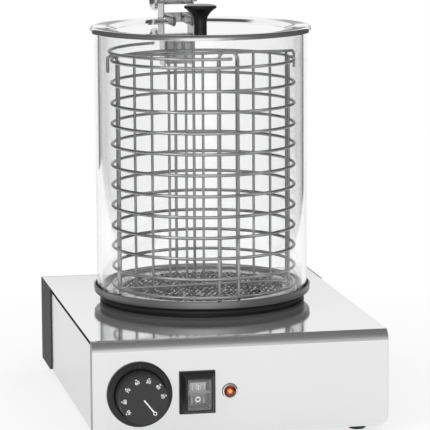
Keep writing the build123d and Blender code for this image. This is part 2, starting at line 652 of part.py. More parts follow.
def gland_cap():
    """Cap nut that closes the gland round the cord."""
    outer = GLAND_CAP_D / 2
    inner = GLAND_THREAD_D / 2 + GLAND_PLAY
    mouth = GLAND_BORE_D / 2
    step = GLAND_OUT - GLAND_CLOSE
    return gland_place() * turned([
        (inner, GLAND_HEX_L), (outer, GLAND_HEX_L), (outer, step), (mouth + GLAND_CLOSE / 2, GLAND_OUT),
        (mouth, GLAND_OUT), (mouth, step), (inner, step),
    ])


def terminal_block():
    """Screw terminal strip on the base plate, just inside the gland."""
    length = TERMINAL_POLES * TERMINAL_PITCH
    block = Pos(0, 0, TERMINAL_H / 2) * Box(length, TERMINAL_W, TERMINAL_H)
    well = Box(TERMINAL_WELL, TERMINAL_WELL, TERMINAL_H)
    wells = [Pos(0, 0, TERMINAL_H) * place * well
             for place in GridLocations(TERMINAL_PITCH, TERMINAL_W / 2, TERMINAL_POLES, 2)]
    return Pos(GLAND_X, REAR_Y - TERMINAL_BACK, SIDE_LOW) * (block - wells)


# ---------------------------------------------------------------- glass, plate and lid
def glass_cylinder():
    """Heat-resistant glass tube that stands on the pan's flange."""
    return AXIS * ring(GLASS_D / 2, GLASS_D / 2 - GLASS_WALL, FLANGE_TOP - DECK_Z, GLASS_TOP - DECK_Z)


def drain_plate():
    """Expanded-metal plate over the basin, with a plain border and a turned-down skirt."""
    top = PLATE_TOP - DECK_Z
    low = FLANGE_TOP - DECK_Z
    under = top - PLATE_T
    plate = turned([
        (0, top), (PLATE_R - PLATE_T, top), (PLATE_R, under), (PLATE_R, low),
        (PLATE_R - PLATE_T, low), (PLATE_R - PLATE_T, under), (0, under),
    ])
    diamond = Polygon((-MESH_LONG / 2, 0), (0, -MESH_SHORT / 2), (MESH_LONG / 2, 0), (0, MESH_SHORT / 2))
    opening = extrude(diamond, 2 * PLATE_T, both=True)
    pitch_x = MESH_LONG + 2 * MESH_STRAND
    pitch_y = MESH_SHORT / 2 + MESH_STRAND
    columns = math.ceil(MESH_R / pitch_x)
    rows = math.ceil(MESH_R / pitch_y)
    openings = []
    for row in range(-rows, rows + 1):
        for column in range(-columns, columns + 1):
            x = (column + (row % 2) / 2) * pitch_x
            y = row * pitch_y
            if math.hypot(abs(x) + MESH_LONG / 2, y) < MESH_R:
                openings.append(Pos(x, y, top) * opening)
    return AXIS * (plate - openings)


def lid():
    """Polished lid: turned-down edge, sloped rim, sunk flat middle, and a notch in the rear rim."""
    top = LID_TOP - DECK_Z
    edge_low = top - LID_EDGE_H
    flat = LID_FLAT_Z - DECK_Z
    disc_shape = turned([
        (0, flat), (LID_FLAT_R, flat), (LID_CREST_R, top), (LID_R, top - LID_R + LID_CREST_R),
        (LID_R, edge_low), (LID_R - LID_SHEET, edge_low),
        (LID_R - LID_SHEET, top - LID_R + LID_CREST_R - LID_SHEET / 2), (LID_CREST_R, top - LID_SHEET),
        (LID_FLAT_R, flat - LID_SHEET), (0, flat - LID_SHEET),
    ])
    length = LID_R - NOTCH_R + NOTCH_CORNER
    notch = Pos(0, NOTCH_R + length / 2, top) * Box(NOTCH_W, length, 4 * LID_EDGE_H)
    notch = fillet(notch.edges().filter_by(Axis.Z).group_by(Axis.Y)[0], NOTCH_CORNER)
    screw_hole = disc(SCREW_D / 2 + HOLE_PLAY, flat - 2 * LID_SHEET, flat + LID_SHEET)
    return AXIS * (disc_shape - notch - screw_hole)


def lid_knob():
    """Mushroom knob: slim neck flaring out to a thin-edged domed top."""
    base = LID_FLAT_Z - DECK_Z
    neck = LID_KNOB_NECK_D / 2
    head = LID_KNOB_D / 2
    edge = base + LID_KNOB_H - KNOB_DOME
    thread = SCREW_D / 2 + HOLE_PLAY
    low = base + KNOB_NECK_H
    rise = edge - KNOB_EDGE - low
    flare = [(neck + (head - neck) * share ** 2, low + rise * share) for share in (0.0, 0.5, 0.8, 1.0)]
    return AXIS * turned([
        (thread, base), (neck, base), *flare, *dome(head, edge, KNOB_DOME),
        (0, base + KNOB_THREAD), (thread, base + KNOB_THREAD),
    ])


def lid_screw():
    """Screw from under the lid, up into the knob."""
    high = LID_FLAT_Z - DECK_Z - LID_SHEET
    head = SCREW_HEAD_D / 2
    tip = LID_FLAT_Z - DECK_Z + KNOB_THREAD
    return AXIS * turned([
        (0, high - SCREW_HEAD_H), (head / 2, high - SCREW_HEAD_H), (head, high), (SCREW_D / 2, high),
        (SCREW_D / 2, tip), (0, tip),
    ])


# ---------------------------------------------------------------- basket
def ring_heights():
    """Heights of the basket's rings over the deck, from the bottom up."""
    even = [RING_SECOND + RING_PITCH * step for step in range(RING_EVEN_COUNT)]
    return [RING_LOW] + even + [RING_TOP]


def basket_rings():
    """Rings of wire, one above the other."""
    closed = hoop(RING_R, 0, 180, WIRE_D, RING_SIDES) + hoop(RING_R, 180, 360, WIRE_D, RING_SIDES)
    return [BASKET * Pos(0, 0, height) * closed for height in ring_heights()]


def front_hairpin():
    """Two front legs bent from one wire, arched over the top ring, standing on the plate."""
    low = PLATE_TOP - DECK_Z
    spring = HAIRPIN_TOP - HAIRPIN_HALF
    left = Line((-HAIRPIN_HALF, -LEG_STAND, low), (-HAIRPIN_HALF, -LEG_STAND, spring))
    arch = ThreePointArc((-HAIRPIN_HALF, -LEG_STAND, spring), (0, -LEG_STAND, HAIRPIN_TOP),
                         (HAIRPIN_HALF, -LEG_STAND, spring))
    right = Line((HAIRPIN_HALF, -LEG_STAND, spring), (HAIRPIN_HALF, -LEG_STAND, low))
    foot = Plane(origin=(-HAIRPIN_HALF, -LEG_STAND, low), z_dir=(0, 0, 1))
    hairpin = sweep(foot * wire_section(WIRE_D, WIRE_SIDES), path=left + arch + right)
    return BASKET * Rot(0, 0, HAIRPIN_TURN) * hairpin


def hanger_wires():
    """Two rear legs that rise past the glass rim, cross it and run down inside the handle."""
    low = PLATE_TOP - DECK_Z
    back = HANDLE_FRONT + HANDLE_DEPTH - HANDLE_SHEET - WIRE_D / 2
    end = HANDLE_LOW + HANGER_WELD
    legs = [
        wire([(x, LEG_STAND, low), (x, LEG_STAND, HANGER_OVER), (x, back, HANGER_OVER), (x, back, end)],
             HANGER_BEND, WIRE_D)
        for x in (-HAIRPIN_HALF, HAIRPIN_HALF)
    ]
    return [HANDLE * leg for leg in legs]


def side_uprights():
    """One upright each side, just in front of the divider, standing on the plate."""
    low = PLATE_TOP - DECK_Z
    high = RING_TOP + WIRE_D / 2
    return [BASKET * rod(polar(LEG_R, angle, low), polar(LEG_R, angle, high), WIRE_D)
            for angle in (180 + UPRIGHT_OFFSET_DEG, -UPRIGHT_OFFSET_DEG)]


def divider_grid():
    """Flat grid across the basket: a bottom wire turned up at both ends, and bars between."""
    edge = DIVIDER_EDGE
    high = DIVIDER_TOP - GRID_WIRE_D / 2
    frame = wire([(-edge, 0, high), (-edge, 0, DIVIDER_LOW), (edge, 0, DIVIDER_LOW), (edge, 0, high)],
                 DIVIDER_CORNER, GRID_WIRE_D)
    bars = []
    for index in range(1, DIVIDER_COUNT - 1):
        x = edge * (2 * index / (DIVIDER_COUNT - 1) - 1)
        bars.append(rod((x, 0, DIVIDER_LOW), (x, 0, high), GRID_WIRE_D - GRID_STEP))
    return BASKET * (frame + bars)


def divider_top_wire():
    """Top wire of the divider, its ends bent down as hooks outside the rings."""
    end = RING_TOP - HOOK_DROP
    points = [(-HOOK_R, 0, end), (-HOOK_R, 0, DIVIDER_TOP), (HOOK_R, 0, DIVIDER_TOP), (HOOK_R, 0, end)]
    return BASKET * wire(points, HOOK_BEND, GRID_WIRE_D)


def divider_bow():
    """Half-round bow on the top wire's left end; its front end passes outside the front legs."""
    return BASKET * Pos(0, 0, BOW_Z) * hoop(BOW_R, BOW_REAR_DEG, BOW_FRONT_DEG, WIRE_D, WIRE_SIDES)


# ---------------------------------------------------------------- basket handle
def handle_bracket():
    """Channel behind the glass: a back web and two cheeks that reach up to the grip."""
    rear = HANDLE_FRONT + HANDLE_DEPTH
    inner_w = HANDLE_W - 2 * HANDLE_SHEET
    cheek = make_face(Polyline((HANDLE_FRONT, HANDLE_LOW), (rear, HANDLE_LOW), (rear, HANDLE_TOP),
                               (HANDLE_FRONT, HANDLE_TOP), close=True))
    cheek = fillet(cheek.vertices().group_by(Axis.Y)[-1], HANDLE_CORNER)
    block = extrude(Plane.YZ * cheek, HANDLE_W / 2, both=True)
    middle = Pos(0, HANDLE_FRONT + HANDLE_DEPTH / 2, (HANDLE_LOW + HANDLE_TOP) / 2)
    inside = middle * Pos(0, -HANDLE_SHEET, 0) * Box(inner_w, HANDLE_DEPTH, 2 * (HANDLE_TOP - HANDLE_LOW))
    window = Pos(0, rear, HANDLE_TOP) * Box(inner_w, HANDLE_DEPTH, 2 * HANDLE_OPEN)
    pin_hole = GRIP * Cylinder(GRIP_PIN_D / 2 + HOLE_PLAY, 2 * HANDLE_W)
    return HANDLE * (block - inside - window) - pin_hole


def grip_tube():
    """Grip between the cheeks."""
    half = HANDLE_W / 2 - HANDLE_SHEET
    return GRIP * ring(GRIP_D / 2, GRIP_PIN_D / 2 + HOLE_PLAY, -half, half)


def grip_pin():
    """Pin through the grip and both cheeks, with a collar and a domed head on the left."""
    left = -HANDLE_W / 2
    head_in = left - GRIP_COLLAR_L
    head_edge = head_in - GRIP_HEAD_L / 3
    pin = GRIP_PIN_D / 2
    return GRIP * turned([
        (0, GRIP_TAIL - left), (pin, GRIP_TAIL - left), (pin, left), (GRIP_COLLAR_D / 2, left),
        (GRIP_COLLAR_D / 2, head_in), (GRIP_HEAD_D / 2, head_in),
        *dome(GRIP_HEAD_D / 2, head_edge, head_in - GRIP_HEAD_L - head_edge),
    ])


NODES = {
    "hood": hood,
    "side_panel_left": lambda: side_panel(-1),
    "side_panel_right": lambda: side_panel(1),
    "rear_cover": rear_cover,
    "base_plate": base_plate,
    "feet": feet,
    "water_pan": water_pan,
    "pan_seal": pan_seal,
    "pan_bolts": pan_bolts,
    "heating_element": heating_element,
    "heater_strap": heater_strap,
    "strap_bolt": strap_bolt,
    "safety_cutout": safety_cutout,
    "dial_bezel": dial_bezel,
    "dial_knob": dial_knob,
    "thermostat_body": thermostat_body,
    "thermostat_shaft": thermostat_shaft,
    "switch_housing": switch_housing,
    "switch_rocker": switch_rocker,
    "splash_cover": splash_cover,
    "lamp_ring": lamp_ring,
    "lamp_lens": lamp_lens,
    "lamp_body": lamp_body,
    "gland_body": gland_body,
    "gland_cap": gland_cap,
    "terminal_block": terminal_block,
    "glass_cylinder": glass_cylinder,
    "drain_plate": drain_plate,
    "lid": lid,
    "lid_knob": lid_knob,
    "lid_screw": lid_screw,
    "basket_rings": basket_rings,
    "front_hairpin": front_hairpin,
    "hanger_wires": hanger_wires,
    "side_uprights": side_uprights,
    "divider_grid": divider_grid,
    "divider_top_wire": divider_top_wire,
    "divider_bow": divider_bow,
    "handle_bracket": handle_bracket,
    "grip_tube": grip_tube,
    "grip_pin": grip_pin,
}

os.makedirs("parts", exist_ok=True)
for name, build in NODES.items():
    made = build()
    solids = made if isinstance(made, list) else [made]
    shape = Compound(children=[piece for item in solids for piece in item.solids()])
    shape.label = name
    export_step(shape, f"parts/{name}.step")
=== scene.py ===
import math
import bpy
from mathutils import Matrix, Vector


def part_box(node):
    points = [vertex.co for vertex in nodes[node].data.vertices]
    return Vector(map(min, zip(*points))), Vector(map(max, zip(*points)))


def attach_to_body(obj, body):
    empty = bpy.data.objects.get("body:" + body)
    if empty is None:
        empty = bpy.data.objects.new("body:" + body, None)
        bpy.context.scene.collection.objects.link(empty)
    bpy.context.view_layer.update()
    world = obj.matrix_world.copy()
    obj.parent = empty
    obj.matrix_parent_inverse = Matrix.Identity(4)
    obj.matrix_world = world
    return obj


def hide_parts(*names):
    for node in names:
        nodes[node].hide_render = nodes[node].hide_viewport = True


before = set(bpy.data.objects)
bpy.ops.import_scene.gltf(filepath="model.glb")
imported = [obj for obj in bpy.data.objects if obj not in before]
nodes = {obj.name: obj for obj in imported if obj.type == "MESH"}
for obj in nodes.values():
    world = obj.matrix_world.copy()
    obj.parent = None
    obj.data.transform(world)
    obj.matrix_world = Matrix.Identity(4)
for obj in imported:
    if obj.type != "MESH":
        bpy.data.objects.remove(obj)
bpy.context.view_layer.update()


# ================================================================ studio and camera
# A white sweep under the steamer and soft boxes round it. The sweep ends in front, so polished metal
# also has a dim room to reflect; the camera looks slightly down from the left of the middle.
class Value:
    """A node's output; arithmetic and comparisons on it add Math nodes."""

    def __init__(self, board, socket):
        self.board = board
        self.socket = socket

    def maths(self, operation, first, second):
        return self.board.node("Math", {"operation": operation}, {0: first, 1: second})

    def __add__(self, other):
        return self.maths("ADD", self, other)

    def __sub__(self, other):
        return self.maths("SUBTRACT", self, other)

    def __rsub__(self, other):
        return self.maths("SUBTRACT", other, self)

    def __mul__(self, other):
        return self.maths("MULTIPLY", self, other)

    def __or__(self, other):
        return self.maths("MAXIMUM", self, other)

    def __gt__(self, other):
        return self.maths("GREATER_THAN", self, other)

    def __lt__(self, other):
        return self.maths("LESS_THAN", self, other)

    def __abs__(self):
        return self.board.node("Math", {"operation": "ABSOLUTE"}, {0: self})

    __radd__ = __add__
    __rmul__ = __mul__


class Board:
    """A node tree being wired up."""

    def __init__(self, tree):
        self.tree = tree

    def feed(self, socket, value):
        if isinstance(value, Value):
            self.tree.links.new(value.socket, socket)
        elif isinstance(value, tuple) and len(socket.default_value) == 4:
            socket.default_value = (*value[:3], 1.0)
        else:
            socket.default_value = value

    def node(self, kind, settings, values, out=0):
        """Adds one node: its settings first, then its sockets' values or links."""
        made = self.tree.nodes.new("ShaderNode" + kind)
        for key, setting in settings.items():
            if key != "stops":
                setattr(made, key, setting)
        stops = settings.get("stops", [])
        for _ in stops[2:]:
            made.color_ramp.elements.new(0.5)
        for index, (place, grey) in enumerate(stops):
            made.color_ramp.elements[index].position = place
            made.color_ramp.elements[index].color = (grey, grey, grey, 1.0)
        for socket, value in values.items():
            self.feed(made.inputs[socket], value)
        return Value(self, made.outputs[out])

    def mixed(self, share, first, second):
        """Colour between two colours."""
        return self.node("Mix", {"data_type": "RGBA"}, {0: share, 6: first, 7: second}, 2)

    def ramp(self, value, stops):
        """Grey that follows a value from stop to stop."""
        return self.node("ValToRGB", {"stops": stops}, {0: value})

    def ray(self, kind):
        """1 for one kind of ray, 0 for the others."""
        return self.node("LightPath", {}, {}, kind)

    def along(self, axis, space="Object"):
        """One axis of the piece's own coordinates or normal, or of a ray, which a world has as Generated."""
        return self.node("SeparateXYZ", {}, {0: self.node("TexCoord", {}, {}, space)}, axis)


# Mirrored and see-through rays meet a white wall behind the steamer and dark ones round it. Soft
# light comes from an even room, and the camera sees white.
room = bpy.data.worlds.new("studio_room")
room.use_nodes = True
bpy.context.scene.world = room
board = Board(room.node_tree)
across = board.along("X", "Generated")
back = board.along("Y", "Generated") * 0.98 + across * 0.19
walls = board.ramp(back * 0.5 + 0.5, [
    (0.02, 0.95), (0.05, 0.54), (0.11, 0.30), (0.24, 0.19),
    (0.60, 0.15), (0.88, 0.11), (0.940, 0.10), (0.944, 1.0)])
flags = board.ramp(abs(across), [(0.35, 1.0), (0.80, 0.80)])
strips = board.ramp(board.along("Z", "Generated") * 0.5 + 0.5, [
    (0.486, 1.0), (0.491, 0.28), (0.533, 0.28), (0.539, 1.0),
    (0.556, 1.0), (0.560, 0.45), (0.583, 0.45), (0.588, 1.0)])
room_side = board.mixed(flags, (0.0, 0.0, 0.0), walls)
room_back = board.mixed(strips, (0.0, 0.0, 0.0), walls)
sharp = board.ray("Is Glossy Ray") | board.ray("Is Transmission Ray")
lit = board.mixed(sharp, (0.80, 0.80, 0.80), board.mixed(back > 0.88, room_side, room_back))
background = room.node_tree.nodes["Background"].inputs["Color"]
board.feed(background, board.mixed(board.ray("Is Camera Ray"), lit, (1.0, 1.0, 1.0)))

bpy.ops.object.select_all(action="DESELECT")
bpy.ops.mesh.primitive_grid_add(x_subdivisions=8, y_subdivisions=8, size=1, location=(0, 0.3, 0))
floor = bpy.context.object
floor.name = "sweep"
floor.scale = (1.8, 2.4, 1)
bpy.ops.object.transform_apply(location=True, rotation=True, scale=True)
paper = bpy.data.materials.new("white_sweep")
paper.use_nodes = True
board = Board(paper.node_tree)
shader = paper.node_tree.nodes["Principled BSDF"]
grain = board.node("TexNoise", {}, {"Vector": board.node("TexCoord", {}, {}, "Object"), "Scale": 9.0})
board.feed(shader.inputs["Base Color"], board.mixed(grain, (0.90, 0.90, 0.90), (0.95, 0.95, 0.95)))
shader.inputs["Roughness"].default_value = 0.9
glow = board.node("Emission", {}, {"Color": (1.0, 1.0, 1.0)})
is_seen = board.ray("Is Camera Ray") | board.ray("Is Transmission Ray")
where = board.node("TexCoord", {}, {}, "Object")
far = board.node("VectorMath", {"operation": "LENGTH"}, {0: where}, "Value")
lift = board.ramp(far, [(0.22, 0.72), (0.62, 1.0)])
share = (is_seen * lift) | (board.ray("Is Glossy Ray") * 0.55)
blended = board.node("MixShader", {}, {0: share, 1: Value(board, shader.outputs[0]), 2: glow})
board.feed(paper.node_tree.nodes["Material Output"].inputs["Surface"], blended)
floor.data.materials.append(paper)


def soft_box(name, place, aim, width, height, power):
    """Rectangular lamp that points at a place."""
    bpy.ops.object.light_add(type="AREA", location=place)
    lamp = bpy.context.object
    lamp.name = name
    lamp.data.shape = "RECTANGLE"
    lamp.data.size = width
    lamp.data.size_y = height
    lamp.data.energy = power
    lamp.visible_glossy = False
    lamp.rotation_euler = (Vector(aim) - Vector(place)).to_track_quat("-Z", "Y").to_euler()


soft_box("box_left", (-1.5, -1.1, 1.3), (0, 0, 0.15), 0.8, 1.2, 13)
soft_box("box_right", (1.7, -0.9, 1.1), (0, 0, 0.15), 0.5, 1.2, 5)
soft_box("box_front", (0.1, -1.9, 1.9), (0, 0, 0.15), 1.6, 0.5, 10)

bpy.ops.object.camera_add(location=(-0.4739, -2.4466, 0.5772),
                          rotation=(math.radians(90 - 9.121), 0, math.radians(-11.166)))
camera = bpy.context.object
camera.name = "camera"
camera.rotation_euler.rotate_axis("Z", math.radians(-0.291))
camera.data.lens = 223.56
camera.data.sensor_width = 36
bpy.context.scene.camera = camera
bpy.context.scene.view_settings.view_transform = "Standard"


# ================================================================ hood and side panels
# One stainless sheet bent over from the deck to the front, with a flanged sheet under each side
# edge. Long-grain finish along each bend, polished enough to mirror what stands on the deck.
DECK_LOW, DECK_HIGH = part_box("hood")
HALF_WIDTH = DECK_HIGH.x
DECK_TOP = round(DECK_HIGH.z, 4)


def finish(name, colour, roughness, metal=0.0, **fixed):
    """New material with its constant values on the shader's own sockets."""
    made = bpy.data.materials.new(name)
    made.use_nodes = True
    shader = made.node_tree.nodes["Principled BSDF"]
    shader.inputs["Base Color"].default_value = (*colour, 1.0)
    shader.inputs["Roughness"].default_value = roughness
    shader.inputs["Metallic"].default_value = metal
    for key, value in fixed.items():
        shader.inputs[key.replace("_", " ").title().replace("Ior", "IOR")].default_value = value
    return made, Board(made.node_tree), shader


def stretched(board, scale, detail=2.0):
    """Noise in the object's own space, drawn out along its smallest scale."""
    where = board.node("Mapping", {}, {"Vector": board.node("TexCoord", {}, {}, "Object"), "Scale": scale})
    return board.node("TexNoise", {}, {"Vector": where, "Scale": 1.0, "Detail": detail})


def relief(board, shader, height, depth):
    """Bump from a height, its full depth in metres."""
    bump = board.node("Bump", {}, {"Strength": 1.0, "Distance": depth, "Height": height})
    board.feed(shader.inputs["Normal"], bump)


def brushed(name, grain, colour, low, high, metal=1.0):
    """Long-grain stainless steel, its grain along one axis; also hands back its board and shader."""
    made, board, shader = finish(name, colour, low, metal=metal)
    lines = stretched(board, grain, 3.0)
    clouds = stretched(board, (9.0, 9.0, 9.0), 3.0)
    pale = tuple(min(1.0, part * 1.06) for part in colour)
    board.feed(shader.inputs["Base Color"], board.mixed(lines * 0.6 + clouds * 0.4, colour, pale))
    board.feed(shader.inputs["Roughness"], lines * (high - low) + clouds * (high - low) + low)
    relief(board, shader, lines, 0.000002)
    return made, board, shader


def dress(name, made):
    """Gives a carried-over solid its material."""
    for slot in nodes[name].material_slots:
        slot.material = made


def bend_shade_painted(made, board, shader):
    """Painted shade: darkens the steel's colour over the bend, standing in for the dark room that the bend
    mirrors.
    """
    bend = board.along("Z", "Normal") * board.along("Y", "Normal") * -0.8
    before = Value(board, shader.inputs["Base Color"].links[0].from_socket)
    board.feed(shader.inputs["Base Color"], board.mixed(bend, before, (0.30, 0.30, 0.30)))
    return made, board, shader


def joint_shade_painted(made, board, shader, low=0.0):
    """Painted shade in the open joint between deck and cheek, and lighter painted shade on the front's cut
    ends.
    """
    aside = abs(board.along("X"))
    along = board.along("Y")
    rise = board.along("Z")
    gap = (aside > HALF_WIDTH - 0.0030) * (rise > low) * (rise < DECK_TOP - 0.00008) * (along > -0.1575)
    cut_end = (aside > HALF_WIDTH - 0.0003) * (along < -0.155)
    joint = gap + cut_end * 0.45
    for key, value in (("Base Color", (0.004, 0.004, 0.004)), ("Roughness", 0.9), ("Metallic", 0.0)):
        socket = shader.inputs[key]
        before = Value(board, socket.links[0].from_socket) if socket.links else socket.default_value
        if key == "Base Color":
            board.feed(socket, board.mixed(joint, before, value))
        else:
            board.feed(socket, board.node("Mix", {"data_type": "FLOAT"}, {0: joint, 2: before, 3: value}))
    return made


long_grain = brushed("stainless_long_grain", (5, 700, 700), (0.77, 0.77, 0.775), 0.03, 0.07, metal=0.88)
# The hood's colour carries painted shade over the bend and along the open joints at its sides.
dress("hood", joint_shade_painted(*bend_shade_painted(*long_grain)))
cheek_grain = brushed("stainless_cheek", (700, 5, 700), (0.72, 0.72, 0.725), 0.14, 0.22)
# The cheeks' colour carries painted shade along their top edges, at the open joint.
cheek_steel = joint_shade_painted(*cheek_grain, low=DECK_TOP - 0.0033)
dress("side_panel_left", cheek_steel)
dress("side_panel_right", cheek_steel)


# ================================================================ rear cover
# Sheet steel cap with a baked grey finish, wrapped round the back and both sides and lapped over the
# cheeks, with its fixings out of sight.
def painted(name, colour, low, high, grain, depth):
    """Baked or moulded finish: fine even texture, slightly uneven gloss."""
    made, board, shader = finish(name, colour, low)
    fine = stretched(board, (grain, grain, grain))
    broad = stretched(board, (14.0, 14.0, 14.0), 3.0)
    pale = tuple(part * 1.16 + 0.004 for part in colour)
    board.feed(shader.inputs["Base Color"], board.mixed(fine * 0.5 + broad * 0.5, colour, pale))
    board.feed(shader.inputs["Roughness"], broad * (high - low) + fine * 0.05 + low)
    relief(board, shader, fine, depth)
    return made


cover_paint = painted("grey_baked_paint", (0.050, 0.051, 0.052), 0.55, 0.68, 900.0, 0.00003)
cover_paint.node_tree.nodes["Principled BSDF"].inputs["Specular IOR Level"].default_value = 0.25
dress("rear_cover", cover_paint)


# ================================================================ base plate and feet
# Slotted bottom plate of zinc-plated steel, laid under the cheeks' flanges and turned up in front.
# It stands on four tapered feet of moulded rubber.
zinc, board, shader = finish("zinc_plated", (0.62, 0.62, 0.60), 0.30, metal=1.0)
spots = stretched(board, (420.0, 420.0, 420.0))
board.feed(shader.inputs["Base Color"], board.mixed(spots, (0.52, 0.52, 0.50), (0.70, 0.69, 0.66)))
board.feed(shader.inputs["Roughness"], spots * 0.16 + 0.24)
relief(board, shader, spots, 0.00002)
dress("base_plate", zinc)
rubber = painted("foot_rubber", (0.028, 0.028, 0.029), 0.55, 0.75, 1100.0, 0.00006)
dress("feet", rubber)


# ================================================================ water pan and its seal
# Drawn pan with a rolled upright rim. Its flat flange sits on a black rubber ring and carries the
# glass; studs under the flange pull it down on the deck.
def middle(name):
    """Middle of a carried-over solid's box, to a tenth of a millimetre."""
    low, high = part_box(name)
    return [round((first + second) / 2, 4) for first, second in zip(low, high)]


AXIS = (*middle("lid_knob")[:2], DECK_TOP)


def rest():
    """Leaves edit mode and deselects everything."""
    if bpy.context.object and bpy.context.object.mode != "OBJECT":
        bpy.ops.object.mode_set(mode="OBJECT")
    bpy.ops.object.select_all(action="DESELECT")


def outline(name, points, closed=False):
    """Edge chain drawn by extruding one vertex from point to point; stays in edit mode."""
    rest()
    bpy.context.tool_settings.mesh_select_mode = (True, False, False)
    bpy.ops.mesh.primitive_plane_add(size=0.001, location=points[0])
    piece = bpy.context.object
    piece.name = piece.data.name = name
    bpy.ops.object.transform_apply(location=True, rotation=True, scale=True)
    bpy.ops.object.mode_set(mode="EDIT")
    bpy.ops.mesh.merge(type="CENTER")
    for before, after in zip(points, points[1:]):
        step = Vector(after) - Vector(before)
        bpy.ops.mesh.extrude_vertices_move(TRANSFORM_OT_translate={"value": step})
    if closed:
        step = Vector(points[0]) - Vector(points[-1])
        bpy.ops.mesh.extrude_vertices_move(TRANSFORM_OT_translate={"value": step})
        bpy.ops.mesh.select_all(action="SELECT")
        bpy.ops.mesh.remove_doubles(threshold=0.000002)
    return piece


def smooth(piece, degrees=35):
    """Shades a piece smooth up to an angle between faces."""
    rest()
    piece.select_set(True)
    bpy.context.view_layer.objects.active = piece
    bpy.ops.object.shade_smooth_by_angle(angle=math.radians(degrees))
    even = piece.modifiers.new("even", "WEIGHTED_NORMAL")
    even.keep_sharp = True
    bpy.ops.object.modifier_apply(modifier="even")


def turned(name, points, centre=(0, 0, 0), steps=96, degrees=35):
    """Spins an outline of (radius, height) points round the upright axis through a centre."""
    spots = [(centre[0] + radius, centre[1], centre[2] + height) for radius, height in points]
    piece = outline(name, spots, closed=True)
    bpy.ops.mesh.select_all(action="SELECT")
    bpy.ops.mesh.spin(steps=steps, angle=2 * math.pi, center=centre, axis=(0, 0, 1))
    bpy.ops.mesh.select_all(action="SELECT")
    bpy.ops.mesh.remove_doubles(threshold=0.000005)
    bpy.ops.mesh.normals_make_consistent(inside=False)
    smooth(piece, degrees)
    return piece


def attach(piece, body, made, *stands_for, slot=None):
    """Gives a piece its material and body, and says which solids it stands for."""
    piece.data.materials.clear()
    piece.data.materials.append(made)
    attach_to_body(piece, body)
    if stands_for:
        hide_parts(*stands_for)


def arc(centre, radius, start, stop, steps):
    """Points of an arc in an outline, in degrees from +X."""
    angles = [math.radians(start + (stop - start) * step / steps) for step in range(steps + 1)]
    return [(centre[0] + radius * math.cos(angle), centre[1] + radius * math.sin(angle)) for angle in angles]


pan_metal, board, shader = finish("pan_metal", (0.40, 0.40, 0.405), 0.36, metal=1.0)
draw_marks = stretched(board, (6.0, 6.0, 900.0))
stains = stretched(board, (30.0, 30.0, 30.0), 4.0)
clean = board.mixed(draw_marks * 0.7 + stains * 0.3, (0.24, 0.24, 0.245), (0.62, 0.62, 0.625))
# Painted shade: the pan is near black up to 7 mm above the deck, for the basin lying in shadow under the
# drain plate.
painted_basin_shade = board.along("Z") < AXIS[2] + 0.0070
board.feed(shader.inputs["Base Color"], board.mixed(painted_basin_shade, clean, (0.06, 0.058, 0.055)))
board.feed(shader.inputs["Roughness"], draw_marks * 0.08 + stains * 0.12 + 0.28)
relief(board, shader, draw_marks, 0.00003)

pan = [(0.0, -0.0450), (0.0760, -0.0450)]
pan += arc((0.0760, -0.0370), 0.0080, -90, 0, 8)
pan += arc((0.0870, 0.0064), 0.0030, 180, 90, 6)
pan += arc((0.1000, 0.0109), 0.0015, -90, -5, 5)
pan += [(0.10205, 0.0148)]
pan += arc((0.1024, 0.0152), 0.0008, 180, 0, 8)
pan += [(0.1031, 0.0142), (0.1027, 0.0098)]
pan += arc((0.1005, 0.0102), 0.0020, -15, -90, 5)
pan += [(0.0870, 0.0082)]
pan += arc((0.0870, 0.0064), 0.0018, 90, 180, 4)
pan += [(0.0852, -0.0370)]
pan += arc((0.0760, -0.0370), 0.0092, 0, -90, 8)
pan += [(0.0, -0.0462)]
pan_piece = turned("pan_drawn", pan, AXIS, steps=192, degrees=40)
attach(pan_piece, "base", pan_metal, "water_pan", slot="pan_metal")

seal_rubber = painted("seal_rubber", (0.020, 0.020, 0.0205), 0.30, 0.42, 700.0, 0.00002)
bead = [(0.0935, 0.0), (0.0976, 0.0)] + arc((0.0972, 0.0004), 0.0004, -90, 90, 4)
bead += [(0.0950, 0.0010), (0.0950, 0.0022), (0.0962, 0.0023)]
bead += arc((0.0946, 0.0046), 0.0032, -42, 50, 10) + [(0.0945, 0.0071), (0.0935, 0.0082)]
seal_ring = turned("seal_ribbed", bead, AXIS, steps=160)
attach(seal_ring, "base", seal_rubber, "pan_seal", slot="black_rubber")
dress("pan_bolts", zinc)


# ================================================================ heater under the pan
# Flattened tubular element, pressed up against the basin by a strap on a welded stud, and a disc
# cut-out beside it. Heat has tinted the element's sheath.
sheath, board, shader = finish("element_sheath", (0.26, 0.22, 0.19), 0.38, metal=1.0)
tint = stretched(board, (26.0, 26.0, 26.0), 3.0)
board.feed(shader.inputs["Base Color"], board.mixed(tint, (0.17, 0.14, 0.13), (0.40, 0.33, 0.24)))
board.feed(shader.inputs["Roughness"], tint * 0.3 + 0.25)
dress("heating_element", sheath)
dress("heater_strap", zinc)
dress("strap_bolt", zinc)
terminal_white = painted("terminal_plastic", (0.72, 0.71, 0.68), 0.38, 0.5, 500.0, 0.00001)
dress("safety_cutout", terminal_white)


# ================================================================ thermostat dial
# Moulded black bezel fixed to the panel; inside it a hollow knob on the thermostat's shaft. The
# knob's face carries the scale, printed in white; a fine mark on the bezel is the index.
PANEL_Y = round(DECK_LOW.y, 4)
DIAL = (middle("dial_bezel")[0], PANEL_Y, middle("dial_bezel")[2])
FACE = 0.0246        # the knob's printed face, from the panel
PRINT = 0.00018      # thickness of the print
moulded = painted("black_moulding", (0.009, 0.009, 0.0093), 0.36, 0.48, 1300.0, 0.000035)
dial_black = painted("dial_moulding", (0.022, 0.022, 0.0225), 0.40, 0.52, 1000.0, 0.00005)
print_white = painted("white_print", (0.80, 0.80, 0.79), 0.5, 0.6, 900.0, 0.000004)


